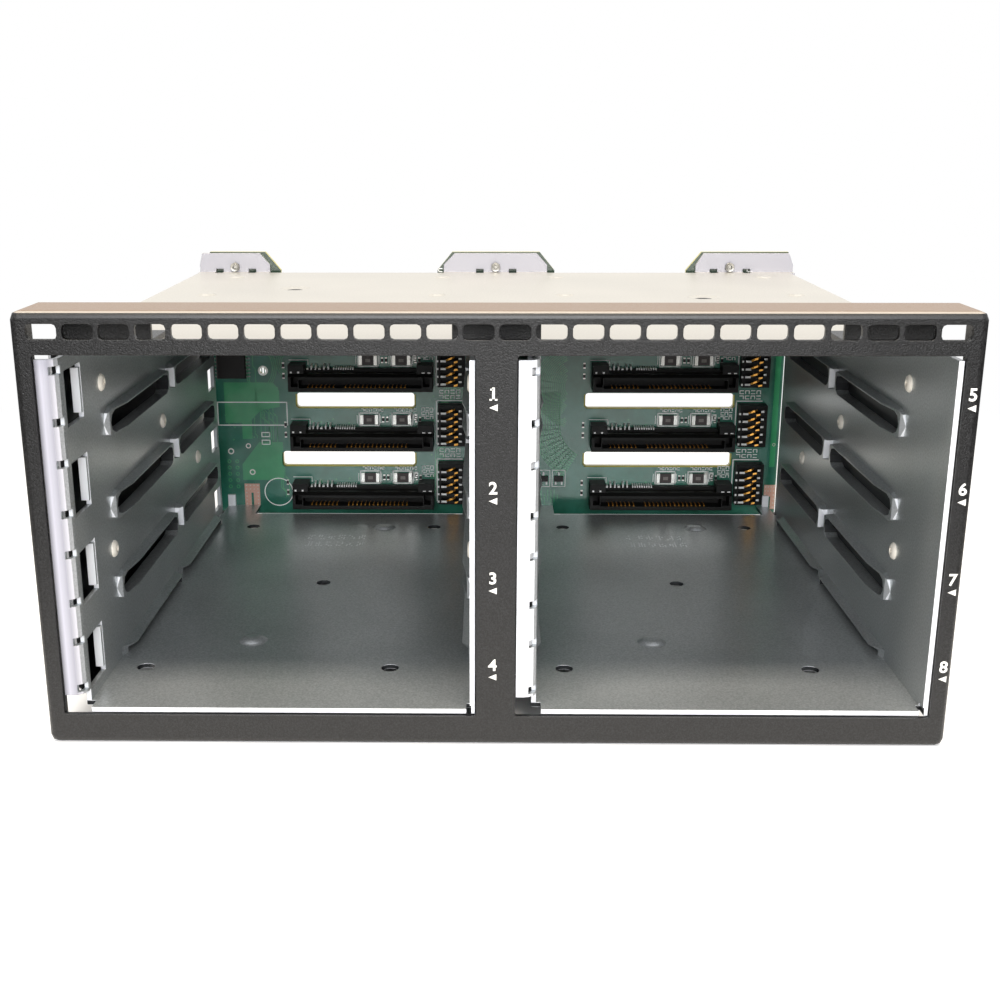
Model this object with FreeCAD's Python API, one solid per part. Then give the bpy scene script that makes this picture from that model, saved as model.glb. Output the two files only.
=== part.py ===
"""Hot swap drive cage: eight 2.5 inch bays in two columns of four, with a backplane board.

Drawing axes, in millimetres: X across the face, Y into the cage from the front of the bezel, Z up from
the bezel's bottom edge.  At export the drawing is moved along Y only, so that the part's own origin is
the middle of the bottom of its box.
"""
import math
import os
import FreeCAD, Part
from FreeCAD import Vector

# ---------------------------------------------------------------- driving dimensions
STEEL = 1.0                  # zinc plated sheet of the trays, shell and divider
SEAT = 0.2                   # play of a tray's front end in its bezel opening

COLUMN_GAP = 8.2             # between the two trays
BAY_PITCH = 18.2             # one drive carrier to the next
BAYS = 4                     # bays in a column
BAY_WIDTH = 77.2             # between the two walls of a tray
LATCH_FLANGE = 4.2           # from a latch wall's face to the tip of its front flange
FLOOR_UNDER = 6.5            # underside of the trays above the bezel's bottom edge
HEAD_ROOM = 17.1             # a tray's height above the three lower bays
TRAY_FRONT = 0.8             # a tray's front end behind the bezel's face
TRAY_BACK = 138.0            # rear edge of a tray's floor

BEZEL_SIDE = 3.7             # the bezel beyond the trays at each side, and above them
BEZEL_CROWN = 9.2
BEZEL_STEEL = 1.1
BEZEL_BEND = 1.3             # outside radius of the bezel's folded edges
BEZEL_CORNER = 1.6           # corners of the bezel's outline
SIDE_RETURN = 9.0            # depth of the bezel's side and bottom returns
TOP_RETURN = 12.5            # depth of its top return
OPENING_RADIUS = 0.5
VENTS = 26
VENT_PITCH = 6.75
VENT_WIDTH = 5.8
VENT_HEIGHT = 2.9
VENT_RADIUS = 0.8
VENT_DROP = 3.85             # centre of the vent row below the bezel's top edge
TAB_WIDTH = 17.2             # the bezel's fixing tabs
TAB_FOOT = 12.0              # how far a fixing tab lies along the shell
TOP_TAB_INSET = 12.0         # middle of an outer top tab from the shell's side
FOOT_HALF = 4.1              # half width of the tab under the divider

SHELL_FRONT = 12.0           # front edge of the shell behind the bezel's face
SHELL_OVERRUN = 5.5          # how far the shell runs on behind the trays
SHELL_BEND = 1.8
SHELL_LIP = 5.0              # lips that carry the trays from below
BOARD_TAB_REACH = 2.0        # the tabs that hold the board stand this far behind the shell
BOARD_TAB_RISE = 5.4         # and this high above it
LEFT_TAB = (1.2, 21.8, 0.8, 2.9)         # ends from the shell's side, and the two cut corners
MIDDLE_TAB = (-14.6, 15.7, 3.2, 3.1)     # ends from the middle
RIGHT_TAB = (0.0, 28.4, 2.2, 1.3)
SCREW_INSET = (11.6, 18.5)   # outer board screws from the shell's sides
MIDDLE_SCREW = 0.6
TAB_SLOTS = (-4.6, 5.0)      # bend reliefs beside each screw
TAB_SLOT_HALF = 1.1
TAB_SLOT_RISE = 0.9
SHELL_HOLES = ((-7.2, 104.8), (6.8, 87.2))      # sunk holes in the top, from the columns' middles
SHELL_HOLE_RADIUS = 1.6
SHELL_SINK_RADIUS = 4.3
SHELL_SINK = 0.6
BUTTON_RADIUS = 2.4          # pressed buttons over the trays' top flanges
BUTTON_HEIGHT = 0.35
BUTTON_INSET = 9.5
BUTTON_PLACES = (91.0, 131.5)

LATCH_WINDOW_START = 4.5     # windows that a carrier's latch hooks into
LATCH_WINDOW_LENGTH = 10.1
LATCH_WINDOW_HEIGHT = 11.0
LATCH_WINDOW_RISE = 8.8      # centre of the lowest one above the tray's underside
LATCH_TAB = 0.7              # bent out along a window's rear edge
LATCH_TAB_BACK = 0.1         # its inner side behind the wall's face
LATCH_TAB_END = 1.0          # and its ends from the window's
FLANGE_BEND = 2.6            # outside radius of the front flange's bend
FLANGE_RELIEF = (0.9, 3.3, 3.6)      # corner cut away under it: into the floor, back and up
CORNER_RELIEF = (0.7, 0.3, 2.6)      # slit in the plain wall's front corner: floor, wall and depth
NOTCH_HALF = 0.8             # half height of the bend relief notches in the front flange
NOTCH_REACH = (1.7, 0.1)     # and their sides behind the wall's face
NOTCH_PLACES = (6.1, -3.9)   # from a window's middle
REAR_SLOT_HEIGHT = 6.3
REAR_SLOT_LENGTH = 8.0
REAR_SLOT_DROP = 10.2        # from a rail's centre line down to the rear slot's

RAIL_LEVEL = -1.3            # the lowest bay's rail line from the trays' underside
RAIL_DEPTH = 2.1             # how far a rail stands into the bay
RAIL_BASE_HALF = 3.3         # half heights of a rail at the wall and at its face
RAIL_FACE_HALF = 2.75
RAIL_SLOT_HALF = 2.45
RAIL_RIM = 2.0               # metal left at each end of the rail's slot
RAIL_NOSE = 1.4              # slope at the ends of a rail
FRONT_RAIL = (27.0, 77.5)    # from and to, behind the bezel's face
REAR_RAIL = (80.3, 128.0)
LEAD_IN = 10.0               # length of the ramp at the front of a front rail
LEAD_IN_STEP = 0.95          # height at which that ramp starts
LEDGE_HEIGHT = 2.2           # the lowest rail is a ledge on the floor
LEDGE_EDGE = 0.7
LEDGE_RAMP = 5.0
LEDGE_MOUTH = 1.4

TOP_FLANGE = 14.0            # the trays' flanges under the shell's top
TOP_FLANGE_INSET = 6.0       # how far they stop short of the shell's rear edge

HOLE_RADIUS = 1.9            # fixing holes in the tray floors
HOLE_SPACING = 53.0
FRONT_HOLES = 21.2
FRONT_HOLES_SHIFT = -5.4
MIDDLE_HOLE = 75.5
REAR_HOLES = 123.8
DIMPLE_RADIUS = 2.7
DIMPLE_HEIGHT = 0.7
FRONT_DIMPLE = (-11.2, 36.3)     # from the bay's middle, and behind the bezel's face
REAR_DIMPLE = (12.0, 123.0)
FOLD_DROP = 2.2              # the floor's rear fold
FOLD_INSET = (12.2, 6.2)     # the fold's ends from the latch wall and the plain wall
GROUND_TAB_LEFT = (0.5, 2.8, 10.3)   # from the latch wall: the upturned part, and the tab's far end
GROUND_TAB_RIGHT = (0.6, 2.6, 4.0)   # the same from the plain wall
GROUND_TAB_RISE = 3.5

DIVIDER_INSET = 2.0          # the divider's rear end from the trays'
TONGUE_INSET = (1.5, 4.0)    # its front tongue's sides from its own
TONGUE_END = 5.0             # the tongue in front of its rivet

RIVET_HEAD = 1.85            # radii
RIVET_SHANK = 1.2
RIVET_RISE = 0.8             # height of a head
RIVET_PLAY = 0.05
RIVET_PLACES = ((27.2, 0, 9.1), (75.0, 1, 8.5), (110.0, 2, 8.7), (27.2, 2, 9.1))  # Y, rail, above it

BOARD_THICKNESS = 1.6
BOARD_INSET = (3.3, 0.5)     # the board's sides from the shell's
BOARD_FOOT = -1.7            # its bottom and top edges from the trays' underside and top
BOARD_HEAD = -0.8
LEFT_EAR = (21.5, 0.8, 4.4)          # length from the board's side, and the two cut corners
MIDDLE_EAR = (-16.5, 17.9, 4.4, 4.4)     # ends from the middle
RIGHT_EAR = (30.5, 4.4, 0.8)
EAR_SHOULDER = 0.4           # the ears' shoulders and tops above the shell
EAR_RISE = 5.7
SLOT_HEIGHT = 4.4            # airflow slots
SLOT_BELOW = 1.5             # from a slot's top to the connector above it
SLOT_RADIUS = 0.8
SLOT_REACH = ((1.6, -5.8), (-1.7, -0.1))   # slots' ends from the connectors', in each column
SLOT_EXTRA = 4.8             # the lowest slot on the left starts this much further out
BOARD_HOLE = (14.8, 49.6)    # plated hole from the board's left edge, and its height
BOARD_HOLE_RADIUS = 1.1
SCREW_RADIUS = 1.3
SCREW_PLAY = 0.3             # round a screw in the board
SCREW_HEAD = 2.6
SCREW_HEAD_HEIGHT = 1.7
SCREW_TIP = 0.2              # screw ends in front of the tabs
SCREW_RISE = 1.45            # board screws above the shell's top
CROSS_HALF = 1.5             # the drive in a screw's head
CROSS_SLIT = 0.3
CROSS_DEPTH = 0.8

CONNECTOR_WIDTH = 43.0
CONNECTOR_HEIGHT = 7.9
CONNECTOR_BODY = 5.3         # height between the two end posts
CONNECTOR_DEPTH = 6.5
CONNECTOR_SHIFT = 4.2        # from the bay's middle
CONNECTOR_RISE = 1.5         # bottom of the lowest one above the trays' underside
CONNECTOR_POST = 4.7
POST_SETBACK = 0.6
BACK_STEP = (2.2, 0.9)       # depth and height of the step along a connector's back
PLUG_SLOT_HEIGHT = 2.5
PLUG_SLOT_RISE = 1.1
PLUG_SLOT_DEPTH = 5.0
PLUG_SLOT_END = 3.2
GUIDE_SLOT = (0.9, 2.0)      # guide slots in the posts: inset and width
GUIDE_SLOT_RISE = (1.5, 4.5)
BODY_EDGE = 0.9

BLOCK_WIDTH = 8.2            # blocks of spring contacts
BLOCK_HEIGHT = 12.7
BLOCK_DEPTH = 4.0
BLOCK_GAP = 1.4              # between a connector and its block
BLOCK_RISE = 2.5             # bottom of the lowest one above the trays' underside
BLOCK_WAYS = 5
BLOCK_RIM = 0.8
GROOVE_DEPTH = 2.6
GROOVE_SHARE = (0.45, 0.95)  # where a groove lies in its way

PORT_WIDTH = 21.0            # data ports on the board's back
PORT_HEIGHT = 9.6
PORT_DEPTH = 11.5            # the ports stand this far off the board
PORT_WALL = 1.0
PORT_LATCH = (5.0, 1.2, 6.5, 1.5)    # latch windows: off the middle, half width, place, half length
PORT_TONGUE = (7.5, 4.2, 1.2, 2.5)   # half width, rise, thickness, how far it stays inside
PORT_PLACES = (5.3, -17.3)   # from the columns' middles
PORT_RISE = 26.0
HEADER_PITCH = 4.2           # power and signal headers
HEADER_WALL = 0.7
SOCKET_HALF = 1.75
SOCKET_FLOOR = 1.5
PIN_HALF = 0.5
PIN_INSET = 2.0
POWER_HEADER = (-5.3, 45.4)  # left end from the right column's middle, and bottom
SIGNAL_HEADER = (13.3, 45.0)         # the same from the left column's
POWER_WAYS = 6               # ways in a row
SIGNAL_WAYS = 2

CHIP_PLACE = (1.0, 47.3)     # controller chip from the board's left side, and its bottom
CHIP_SIDE = 8.8
CHIP_HEIGHT = 1.2
FILTER_HALF = (2.5, 1.4)     # power filters: half width and half height
FILTER_DEPTH = 0.9
FILTER_PLACES = (23.4, 33.4)
FILTER_RISE = 8.5            # above a connector's bottom

FLAT_ANGLE = 45.0            # turn of each flat in a small round corner, rivet head or button
SHANK_ANGLE = 60.0           # the same in a shank and the hole it fills

# ---------------------------------------------------------------- worked out from them
FLOOR = FLOOR_UNDER + STEEL
TRAY_HEIGHT = (BAYS - 1) * BAY_PITCH + HEAD_ROOM
TRAY_TOP = FLOOR_UNDER + TRAY_HEIGHT
TRAY_WIDTH = LATCH_FLANGE + BAY_WIDTH + STEEL
COLUMN_PITCH = TRAY_WIDTH + COLUMN_GAP
SHELL_TOP = TRAY_TOP + STEEL
SHELL_HALF = COLUMN_PITCH / 2 + TRAY_WIDTH / 2 + STEEL
SHELL_BACK = TRAY_BACK + SHELL_OVERRUN
OPENING_WIDTH = TRAY_WIDTH + 2 * SEAT
OPENING_BOTTOM = FLOOR_UNDER - SEAT
BEZEL_WIDTH = COLUMN_PITCH + TRAY_WIDTH + 2 * BEZEL_SIDE
BEZEL_HEIGHT = TRAY_TOP + BEZEL_CROWN
LATCH_FACE = -TRAY_WIDTH / 2 + LATCH_FLANGE      # wall faces from the tray's middle
PLAIN_FACE = TRAY_WIDTH / 2 - STEEL
BAY_MIDDLE = (LATCH_FACE + PLAIN_FACE) / 2
RAIL_RISE = FLOOR_UNDER + RAIL_LEVEL + (BAYS - 1) * BAY_PITCH
RIVETS = tuple((y, RAIL_RISE - rail * BAY_PITCH + rise) for y, rail, rise in RIVET_PLACES)
SHANK_HOLE = RIVET_SHANK + RIVET_PLAY
TAB_RIVET = SHELL_FRONT + 0.55 * TAB_FOOT
TOP_TABS = (TOP_TAB_INSET - SHELL_HALF, 0.0, SHELL_HALF - TOP_TAB_INSET)
TAB_SCREWS = (SCREW_INSET[0] - SHELL_HALF, MIDDLE_SCREW, SHELL_HALF - SCREW_INSET[1])
BOARD_TAB_FACE = SHELL_BACK + BOARD_TAB_REACH
BOARD_FACE = BOARD_TAB_FACE + STEEL
BOARD_BACK = BOARD_FACE + BOARD_THICKNESS
BOARD_LEFT = BOARD_INSET[0] - SHELL_HALF
BOARD_RIGHT = SHELL_HALF - BOARD_INSET[1]
BOARD_TOP = TRAY_TOP + BOARD_HEAD
COLUMNS = (-COLUMN_PITCH / 2, COLUMN_PITCH / 2)
CONNECTOR_BOTTOM = FLOOR_UNDER + CONNECTOR_RISE
BLOCK_SHIFT = CONNECTOR_SHIFT + CONNECTOR_WIDTH / 2 + BLOCK_GAP + BLOCK_WIDTH / 2
DEPTH = BOARD_BACK + PORT_DEPTH
BOARD_TABS = ((LEFT_TAB[0] - SHELL_HALF, LEFT_TAB[1] - SHELL_HALF) + LEFT_TAB[2:], MIDDLE_TAB,
              (SHELL_HALF - RIGHT_TAB[1], SHELL_HALF - RIGHT_TAB[0]) + RIGHT_TAB[2:])
BOARD_EARS = ((BOARD_LEFT, BOARD_LEFT + LEFT_EAR[0]) + LEFT_EAR[1:], MIDDLE_EAR,
              (BOARD_RIGHT - RIGHT_EAR[0], BOARD_RIGHT) + RIGHT_EAR[1:])


# ---------------------------------------------------------------- helpers
def block(x0, x1, y0, y1, z0, z1):
    return Part.makeBox(x1 - x0, y1 - y0, z1 - z0, Vector(x0, y0, z0))


def prism(points, along):
    """A straight prism from a closed outline of points."""
    outline = Part.makePolygon([Vector(*p) for p in points + points[:1]])
    return Part.Face(outline).extrude(Vector(*along))


def arc_points(cu, cv, radius, start, turn, flat=FLAT_ANGLE):
    """Points on an arc about (cu, cv), from angle start through turn, about one flat of turn apart."""
    steps = round(abs(turn) / flat)
    angles = [math.radians(start + turn * k / steps) for k in range(steps + 1)]
    return [(cu + radius * math.cos(a), cv + radius * math.sin(a)) for a in angles]


def corner_outline(x0, x1, z0, z1, radius, inset=0.0):
    """A rectangle's outline with round corners, each drawn with a few flats, drawn in by inset."""
    outline = []
    for cu, cv, start in ((x1 - radius, z1 - radius, 0), (x0 + radius, z1 - radius, 90),
                          (x0 + radius, z0 + radius, 180), (x1 - radius, z0 + radius, 270)):
        outline += arc_points(cu, cv, radius - inset, start, 90)
    return outline


def rounded(x0, x1, z0, z1, radius, y0, y1):
    """A bar along Y whose outline in X and Z has small round corners."""
    return prism([(u, y0, v) for u, v in corner_outline(x0, x1, z0, z1, radius)], (0, y1 - y0, 0))


def skin(rings):
    """A solid through rings of equally many points, closed flat at both ends."""
    outlines = [rings[0], rings[-1]]
    for near, far in zip(rings, rings[1:]):
        outlines += [[near[k - 1], near[k], far[k], far[k - 1]] for k in range(len(near))]
    faces = [Part.Face(Part.makePolygon(points + points[:1])) for points in outlines]
    solid = Part.makeSolid(Part.makeShell(faces))
    if solid.Volume < 0:
        solid.reverse()
    return solid


def stub(start, axis, length, radius, top=None, flat=FLAT_ANGLE):
    """A small round bar or cone drawn with a few flats, which keeps the model light."""
    start, axis = Vector(*start), Vector(*axis)
    side = Vector(1, 0, 0) if abs(axis.x) < 0.5 else Vector(0, 1, 0)
    up = axis.cross(side)
    rings = []
    for centre, size in ((start, radius), (start + axis * length, radius if top is None else top)):
        corners = arc_points(0, 0, size, flat / 2, 360, flat)[:-1]
        rings.append([centre + side * u + up * v for u, v in corners])
    return skin(rings)


def stadium_x(y0, y1, z, half, x0, x1):
    """A slot's outline in Y and Z with round ends, as a bar from x0 to x1."""
    outline = arc_points(y1 - half, z, half, -90, 180) + arc_points(y0 + half, z, half, 90, 180)
    return prism([(x0, u, v) for u, v in outline], (x1 - x0, 0, 0))


def join(first, others):
    return first.fuse(others).removeSplitter() if others else first


def save(node, shape):
    """Moves the drawing onto the part's origin and writes one STEP file for the node."""
    shape = shape.copy()
    shape.translate(Vector(0, -DEPTH / 2, 0))
    shape.exportStep("parts/%s.step" % node)
    print(node, len(shape.Solids), round(shape.Volume, 1), shape.isValid())


# ---------------------------------------------------------------- column trays
def rail_body(wall, side, z, span, lead_in):
    """The drawn metal of one rail: sloped flanks, a rounded nose and, in front, a long lead-in ramp."""
    start, stop = span
    face = wall + side * RAIL_DEPTH
    root = wall - side * STEEL
    flanks = prism([(root, start, z - RAIL_BASE_HALF), (root, start, z + RAIL_BASE_HALF),
                    (wall, start, z + RAIL_BASE_HALF), (face, start, z + RAIL_FACE_HALF),
                    (face, start, z - RAIL_FACE_HALF), (wall, start, z - RAIL_BASE_HALF)],
                   (0, stop - start, 0))
    step = wall + side * (LEAD_IN_STEP if lead_in else RAIL_DEPTH)
    low = z - RAIL_BASE_HALF - 1
    plan = prism([(root, start, low), (wall, start, low), (step, start + RAIL_NOSE, low),
                  (face, start + RAIL_NOSE + lead_in, low), (face, stop - RAIL_NOSE, low), (wall, stop, low),
                  (root, stop, low)], (0, 0, 2 * RAIL_BASE_HALF + 2))
    ends = stadium_x(start, stop, z, RAIL_BASE_HALF, min(root, face), max(root, face))
    return flanks.common(plan).common(ends)


def rail_slot(wall, side, z, span):
    x0, x1 = sorted((wall - 2 * side * STEEL, wall + side * (RAIL_DEPTH + 1)))
    return stadium_x(span[0] + RAIL_RIM, span[1] - RAIL_RIM, z, RAIL_SLOT_HALF, x0, x1)


def floor_ledge(wall, side, span):
    """The lowest rail: a ledge lanced out of the wall's foot, open under its lip."""
    start, stop = span
    top = FLOOR + LEDGE_HEIGHT
    face = wall + side * RAIL_DEPTH
    root = wall - side * STEEL
    outline = [(root, start, FLOOR), (root, start, top), (wall, start, top),
               (face, start, top - LEDGE_EDGE), (face, start, FLOOR)]
    body = prism(outline, (0, stop - start, 0))
    low = FLOOR - 1
    plan = prism([(root, start, low), (wall, start, low), (face, start + LEDGE_RAMP, low),
                  (face, stop - RAIL_NOSE, low), (wall, stop, low), (root, stop, low)],
                 (0, 0, LEDGE_HEIGHT + 2))
    x0, x1 = sorted((wall - 2 * side * STEEL, face + side))
    mouth = block(x0, x1, start + RAIL_RIM, stop - RAIL_RIM, FLOOR, FLOOR + LEDGE_MOUTH)
    return body.common(plan), mouth


def latch_wall():
    """Wall with the front flange, as one bent strip seen from above."""
    tip = -TRAY_WIDTH / 2
    cx, cy = LATCH_FACE - FLANGE_BEND, TRAY_FRONT + FLANGE_BEND
    outside = arc_points(cx, cy, FLANGE_BEND, -90, 90, FLAT_ANGLE / 2)
    inside = arc_points(cx, cy, FLANGE_BEND - STEEL, 0, -90, FLAT_ANGLE / 2)
    back = [(LATCH_FACE, TRAY_BACK + 1), (LATCH_FACE - STEEL, TRAY_BACK + 1)]
    plan = [(tip, TRAY_FRONT)] + outside + back + inside + [(tip, TRAY_FRONT + STEEL)]
    strip = prism([(u, v, FLOOR_UNDER) for u, v in plan], (0, 0, TRAY_HEIGHT))
    return strip


def latch_windows():
    """Cutters of the windows and notches, and the tabs bent out of the windows' rear edges."""
    cutters, tabs = [], []
    back = LATCH_WINDOW_START + LATCH_WINDOW_LENGTH
    half = LATCH_WINDOW_HEIGHT / 2
    for bay in range(BAYS):
        z = FLOOR_UNDER + LATCH_WINDOW_RISE + bay * BAY_PITCH
        cutters.append(block(LATCH_FACE - 2 * STEEL, LATCH_FACE + 1, LATCH_WINDOW_START, back,
                             z - half, z + half))
        tabs.append(block(LATCH_FACE - STEEL - LATCH_TAB, LATCH_FACE - LATCH_TAB_BACK, back - STEEL, back,
                          z - half + LATCH_TAB_END, z + half - LATCH_TAB_END))
        for dz in NOTCH_PLACES:
            cutters.append(block(LATCH_FACE - NOTCH_REACH[0], LATCH_FACE - NOTCH_REACH[1], 0,
                                 TRAY_FRONT + FLANGE_BEND, z + dz - NOTCH_HALF, z + dz + NOTCH_HALF))
    for rail in range(BAYS - 1):
        z = RAIL_RISE - rail * BAY_PITCH - REAR_SLOT_DROP
        cutters.append(block(LATCH_FACE - 2 * STEEL, LATCH_FACE + 1, TRAY_BACK - 1 - REAR_SLOT_LENGTH,
                             TRAY_BACK - 1, z - REAR_SLOT_HEIGHT / 2, z + REAR_SLOT_HEIGHT / 2))
    return cutters, tabs


def corner_reliefs():
    """Cutters of the corner under the front flange and of the slit in the plain wall's front corner."""
    floor_cut, back, up = FLANGE_RELIEF
    under = block(-TRAY_WIDTH / 2 - 1, LATCH_FACE + floor_cut, 0, TRAY_FRONT + back, FLOOR_UNDER - 1,
                  FLOOR_UNDER + up)
    floor_cut, wall_cut, back = CORNER_RELIEF
    slit = block(PLAIN_FACE - floor_cut, PLAIN_FACE + wall_cut, 0, TRAY_FRONT + back, FLOOR_UNDER - 1,
                 FLOOR + floor_cut)
    return [under, slit]


def dimple(x, y, z, radius, height):
    """A pressed button: the raised cone, and the hollow under it."""
    top = 0.7 * radius
    raised = stub((x, y, z), (0, 0, 1), height, radius, top)
    hollow = stub((x, y, z - STEEL), (0, 0, 1), height, radius - 0.3, top - 0.3)
    return raised, hollow


def tray_floor():
    """Floor with its fixing holes, pressed buttons, rear fold and the two tabs that touch the board."""
    left, right = LATCH_FACE - STEEL, TRAY_WIDTH / 2
    floor = block(left, right, TRAY_FRONT, TRAY_BACK, FLOOR_UNDER, FLOOR)
    fold = block(LATCH_FACE + FOLD_INSET[0], PLAIN_FACE - FOLD_INSET[1], TRAY_BACK - STEEL, TRAY_BACK,
                 FLOOR_UNDER - FOLD_DROP, FLOOR)
    corner = [e for e in fold.Edges if abs(e.CenterOfMass.z - FLOOR) < 0.01
              and abs(e.CenterOfMass.y - TRAY_BACK) < 0.01]
    floor = floor.cut(block(left - 1, right + 1, TRAY_BACK - STEEL, TRAY_BACK + 1, FLOOR_UNDER - 1,
                            FLOOR + 1))
    strips = [fold.makeFillet(0.9 * STEEL, corner)]
    for wall, side, (near, turned, far) in ((LATCH_FACE, 1, GROUND_TAB_LEFT),
                                            (PLAIN_FACE, -1, GROUND_TAB_RIGHT)):
        x0, x1 = sorted((wall + side * near, wall + side * far))
        up0, up1 = sorted((wall + side * near, wall + side * turned))
        strips.append(block(x0, x1, TRAY_BACK - STEEL, BOARD_FACE, FLOOR_UNDER, FLOOR))
        strips.append(block(up0, up1, BOARD_FACE - STEEL, BOARD_FACE, FLOOR_UNDER, FLOOR + GROUND_TAB_RISE))
    floor = join(floor, strips)
    front_x = BAY_MIDDLE + FRONT_HOLES_SHIFT
    holes = [(front_x - HOLE_SPACING / 2, FRONT_HOLES), (front_x + HOLE_SPACING / 2, FRONT_HOLES),
             (BAY_MIDDLE - HOLE_SPACING / 2, REAR_HOLES), (BAY_MIDDLE + HOLE_SPACING / 2, REAR_HOLES)]
    cutters = [Part.makeCylinder(HOLE_RADIUS, STEEL + 2, Vector(x, y, FLOOR_UNDER - 1))
               for x, y in holes]
    cutters.append(stub((BAY_MIDDLE, MIDDLE_HOLE, FLOOR_UNDER - 1), (0, 0, 1), STEEL + 2, HOLE_RADIUS))
    raised = []
    for dx, y in (FRONT_DIMPLE, REAR_DIMPLE):
        button, hollow = dimple(BAY_MIDDLE + dx, y, FLOOR, DIMPLE_RADIUS, DIMPLE_HEIGHT)
        raised.append(button)
        cutters.append(hollow)
    return join(floor, raised).cut(cutters)


def column_tray():
    """One tray, drawn about its own middle: floor, latch wall, plain wall, rails and top flanges."""
    plain = block(PLAIN_FACE, TRAY_WIDTH / 2, TRAY_FRONT, TRAY_BACK + 1, FLOOR_UNDER, TRAY_TOP)
    window_cutters, tabs = latch_windows()
    flange_back = SHELL_BACK - TOP_FLANGE_INSET
    flange_front = SHELL_FRONT + TAB_FOOT
    flanges = [block(LATCH_FACE - STEEL, LATCH_FACE + TOP_FLANGE, flange_front, flange_back,
                     TRAY_TOP - STEEL, TRAY_TOP),
               block(PLAIN_FACE - TOP_FLANGE, PLAIN_FACE + STEEL, flange_front, flange_back,
                     TRAY_TOP - STEEL, TRAY_TOP)]
    metal, cutters = [], []
    for wall, side in ((LATCH_FACE, 1), (PLAIN_FACE, -1)):
        for bay in range(BAYS - 1):
            z = RAIL_RISE - bay * BAY_PITCH
            for span, lead_in in ((FRONT_RAIL, LEAD_IN), (REAR_RAIL, 0.0)):
                metal.append(rail_body(wall, side, z, span, lead_in))
                cutters.append(rail_slot(wall, side, z, span))
        for span in (FRONT_RAIL, REAR_RAIL):
            ledge, mouth = floor_ledge(wall, side, span)
            metal.append(ledge)
            cutters.append(mouth)
        x0 = min(wall, wall - side * STEEL) - 1
        for y, z in RIVETS:
            cutters.append(stub((x0, y, z), (1, 0, 0), STEEL + 2, SHANK_HOLE, flat=SHANK_ANGLE))
    walls = latch_wall().cut(window_cutters)
    tray = join(walls, [plain, tray_floor()] + tabs + flanges + metal)
    return tray.cut(cutters + corner_reliefs()).removeSplitter()


# ---------------------------------------------------------------- shell over both trays
def shell_section():
    """The folded sheet's section in X and Z: top, two sides and two lips under the trays."""
    inner = SHELL_HALF - STEEL
    outer = block(-SHELL_HALF, SHELL_HALF, SHELL_FRONT, SHELL_BACK, FLOOR_UNDER - STEEL, SHELL_TOP)
    bends = [e for e in outer.Edges if abs(e.tangentAt(e.FirstParameter).y) > 0.9]
    outer = outer.makeFillet(SHELL_BEND, bends)
    hollow = block(-inner, inner, 0, DEPTH, FLOOR_UNDER, TRAY_TOP)
    mouth = block(SHELL_LIP - SHELL_HALF, SHELL_HALF - SHELL_LIP, 0, DEPTH, 0, FLOOR_UNDER + 1)
    return outer.cut([hollow, mouth])


def board_tab(x0, x1, left_cut, right_cut):
    """A tab turned up from the shell's rear edge, with its two top corners cut off."""
    top = SHELL_TOP + BOARD_TAB_RISE
    rise = 0.62 * BOARD_TAB_RISE
    back = BOARD_TAB_FACE + STEEL
    tab = prism([(x0, BOARD_TAB_FACE, TRAY_TOP), (x1, BOARD_TAB_FACE, TRAY_TOP),
                 (x1, BOARD_TAB_FACE, top - rise), (x1 - right_cut, BOARD_TAB_FACE, top),
                 (x0 + left_cut, BOARD_TAB_FACE, top), (x0, BOARD_TAB_FACE, top - rise)],
                (0, STEEL, 0))
    neck = block(x0, x1, SHELL_BACK - STEEL, back, TRAY_TOP, SHELL_TOP)
    return join(tab, [neck])


def cage_shell():
    shell = shell_section()
    shell = join(shell, [board_tab(*ends) for ends in BOARD_TABS])
    cutters, buttons = [], []
    for x in TAB_SCREWS:
        cutters.append(stub((x, BOARD_TAB_FACE - 1, SHELL_TOP + SCREW_RISE), (0, 1, 0), STEEL + 2,
                            SCREW_RADIUS + RIVET_PLAY, flat=SHANK_ANGLE))
        for dx in TAB_SLOTS:
            cutters.append(block(x + dx - TAB_SLOT_HALF, x + dx + TAB_SLOT_HALF, SHELL_BACK - 0.4,
                                 BOARD_FACE + 1, TRAY_TOP - 1, SHELL_TOP + TAB_SLOT_RISE))
    for column, (dx, y) in zip(COLUMNS, SHELL_HOLES):
        x = column + dx
        cutters.append(stub((x, y, SHELL_TOP - SHELL_SINK), (0, 0, 1), SHELL_SINK, 1.2 * SHELL_HOLE_RADIUS,
                            SHELL_SINK_RADIUS))
        cutters.append(stub((x, y, TRAY_TOP - 1), (0, 0, 1), STEEL + 2, SHELL_HOLE_RADIUS))
    for column in COLUMNS:
        for face, side in ((LATCH_FACE, 1), (PLAIN_FACE, -1)):
            for y in BUTTON_PLACES:
                button, hollow = dimple(column + face + side * BUTTON_INSET, y, SHELL_TOP, BUTTON_RADIUS,
                                        BUTTON_HEIGHT)
                buttons.append(button)
    for side in (-1, 1):
        x0 = side * (SHELL_HALF - STEEL / 2) - STEEL
        for y, z in RIVETS:
            cutters.append(stub((x0, y, z), (1, 0, 0), 2 * STEEL, SHANK_HOLE, flat=SHANK_ANGLE))
    for x in TOP_TABS:
        cutters.append(stub((x, TAB_RIVET, TRAY_TOP - 1), (0, 0, 1), STEEL + 2, SHANK_HOLE,
                            flat=SHANK_ANGLE))
    return join(shell, buttons).cut(cutters).removeSplitter()


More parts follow.
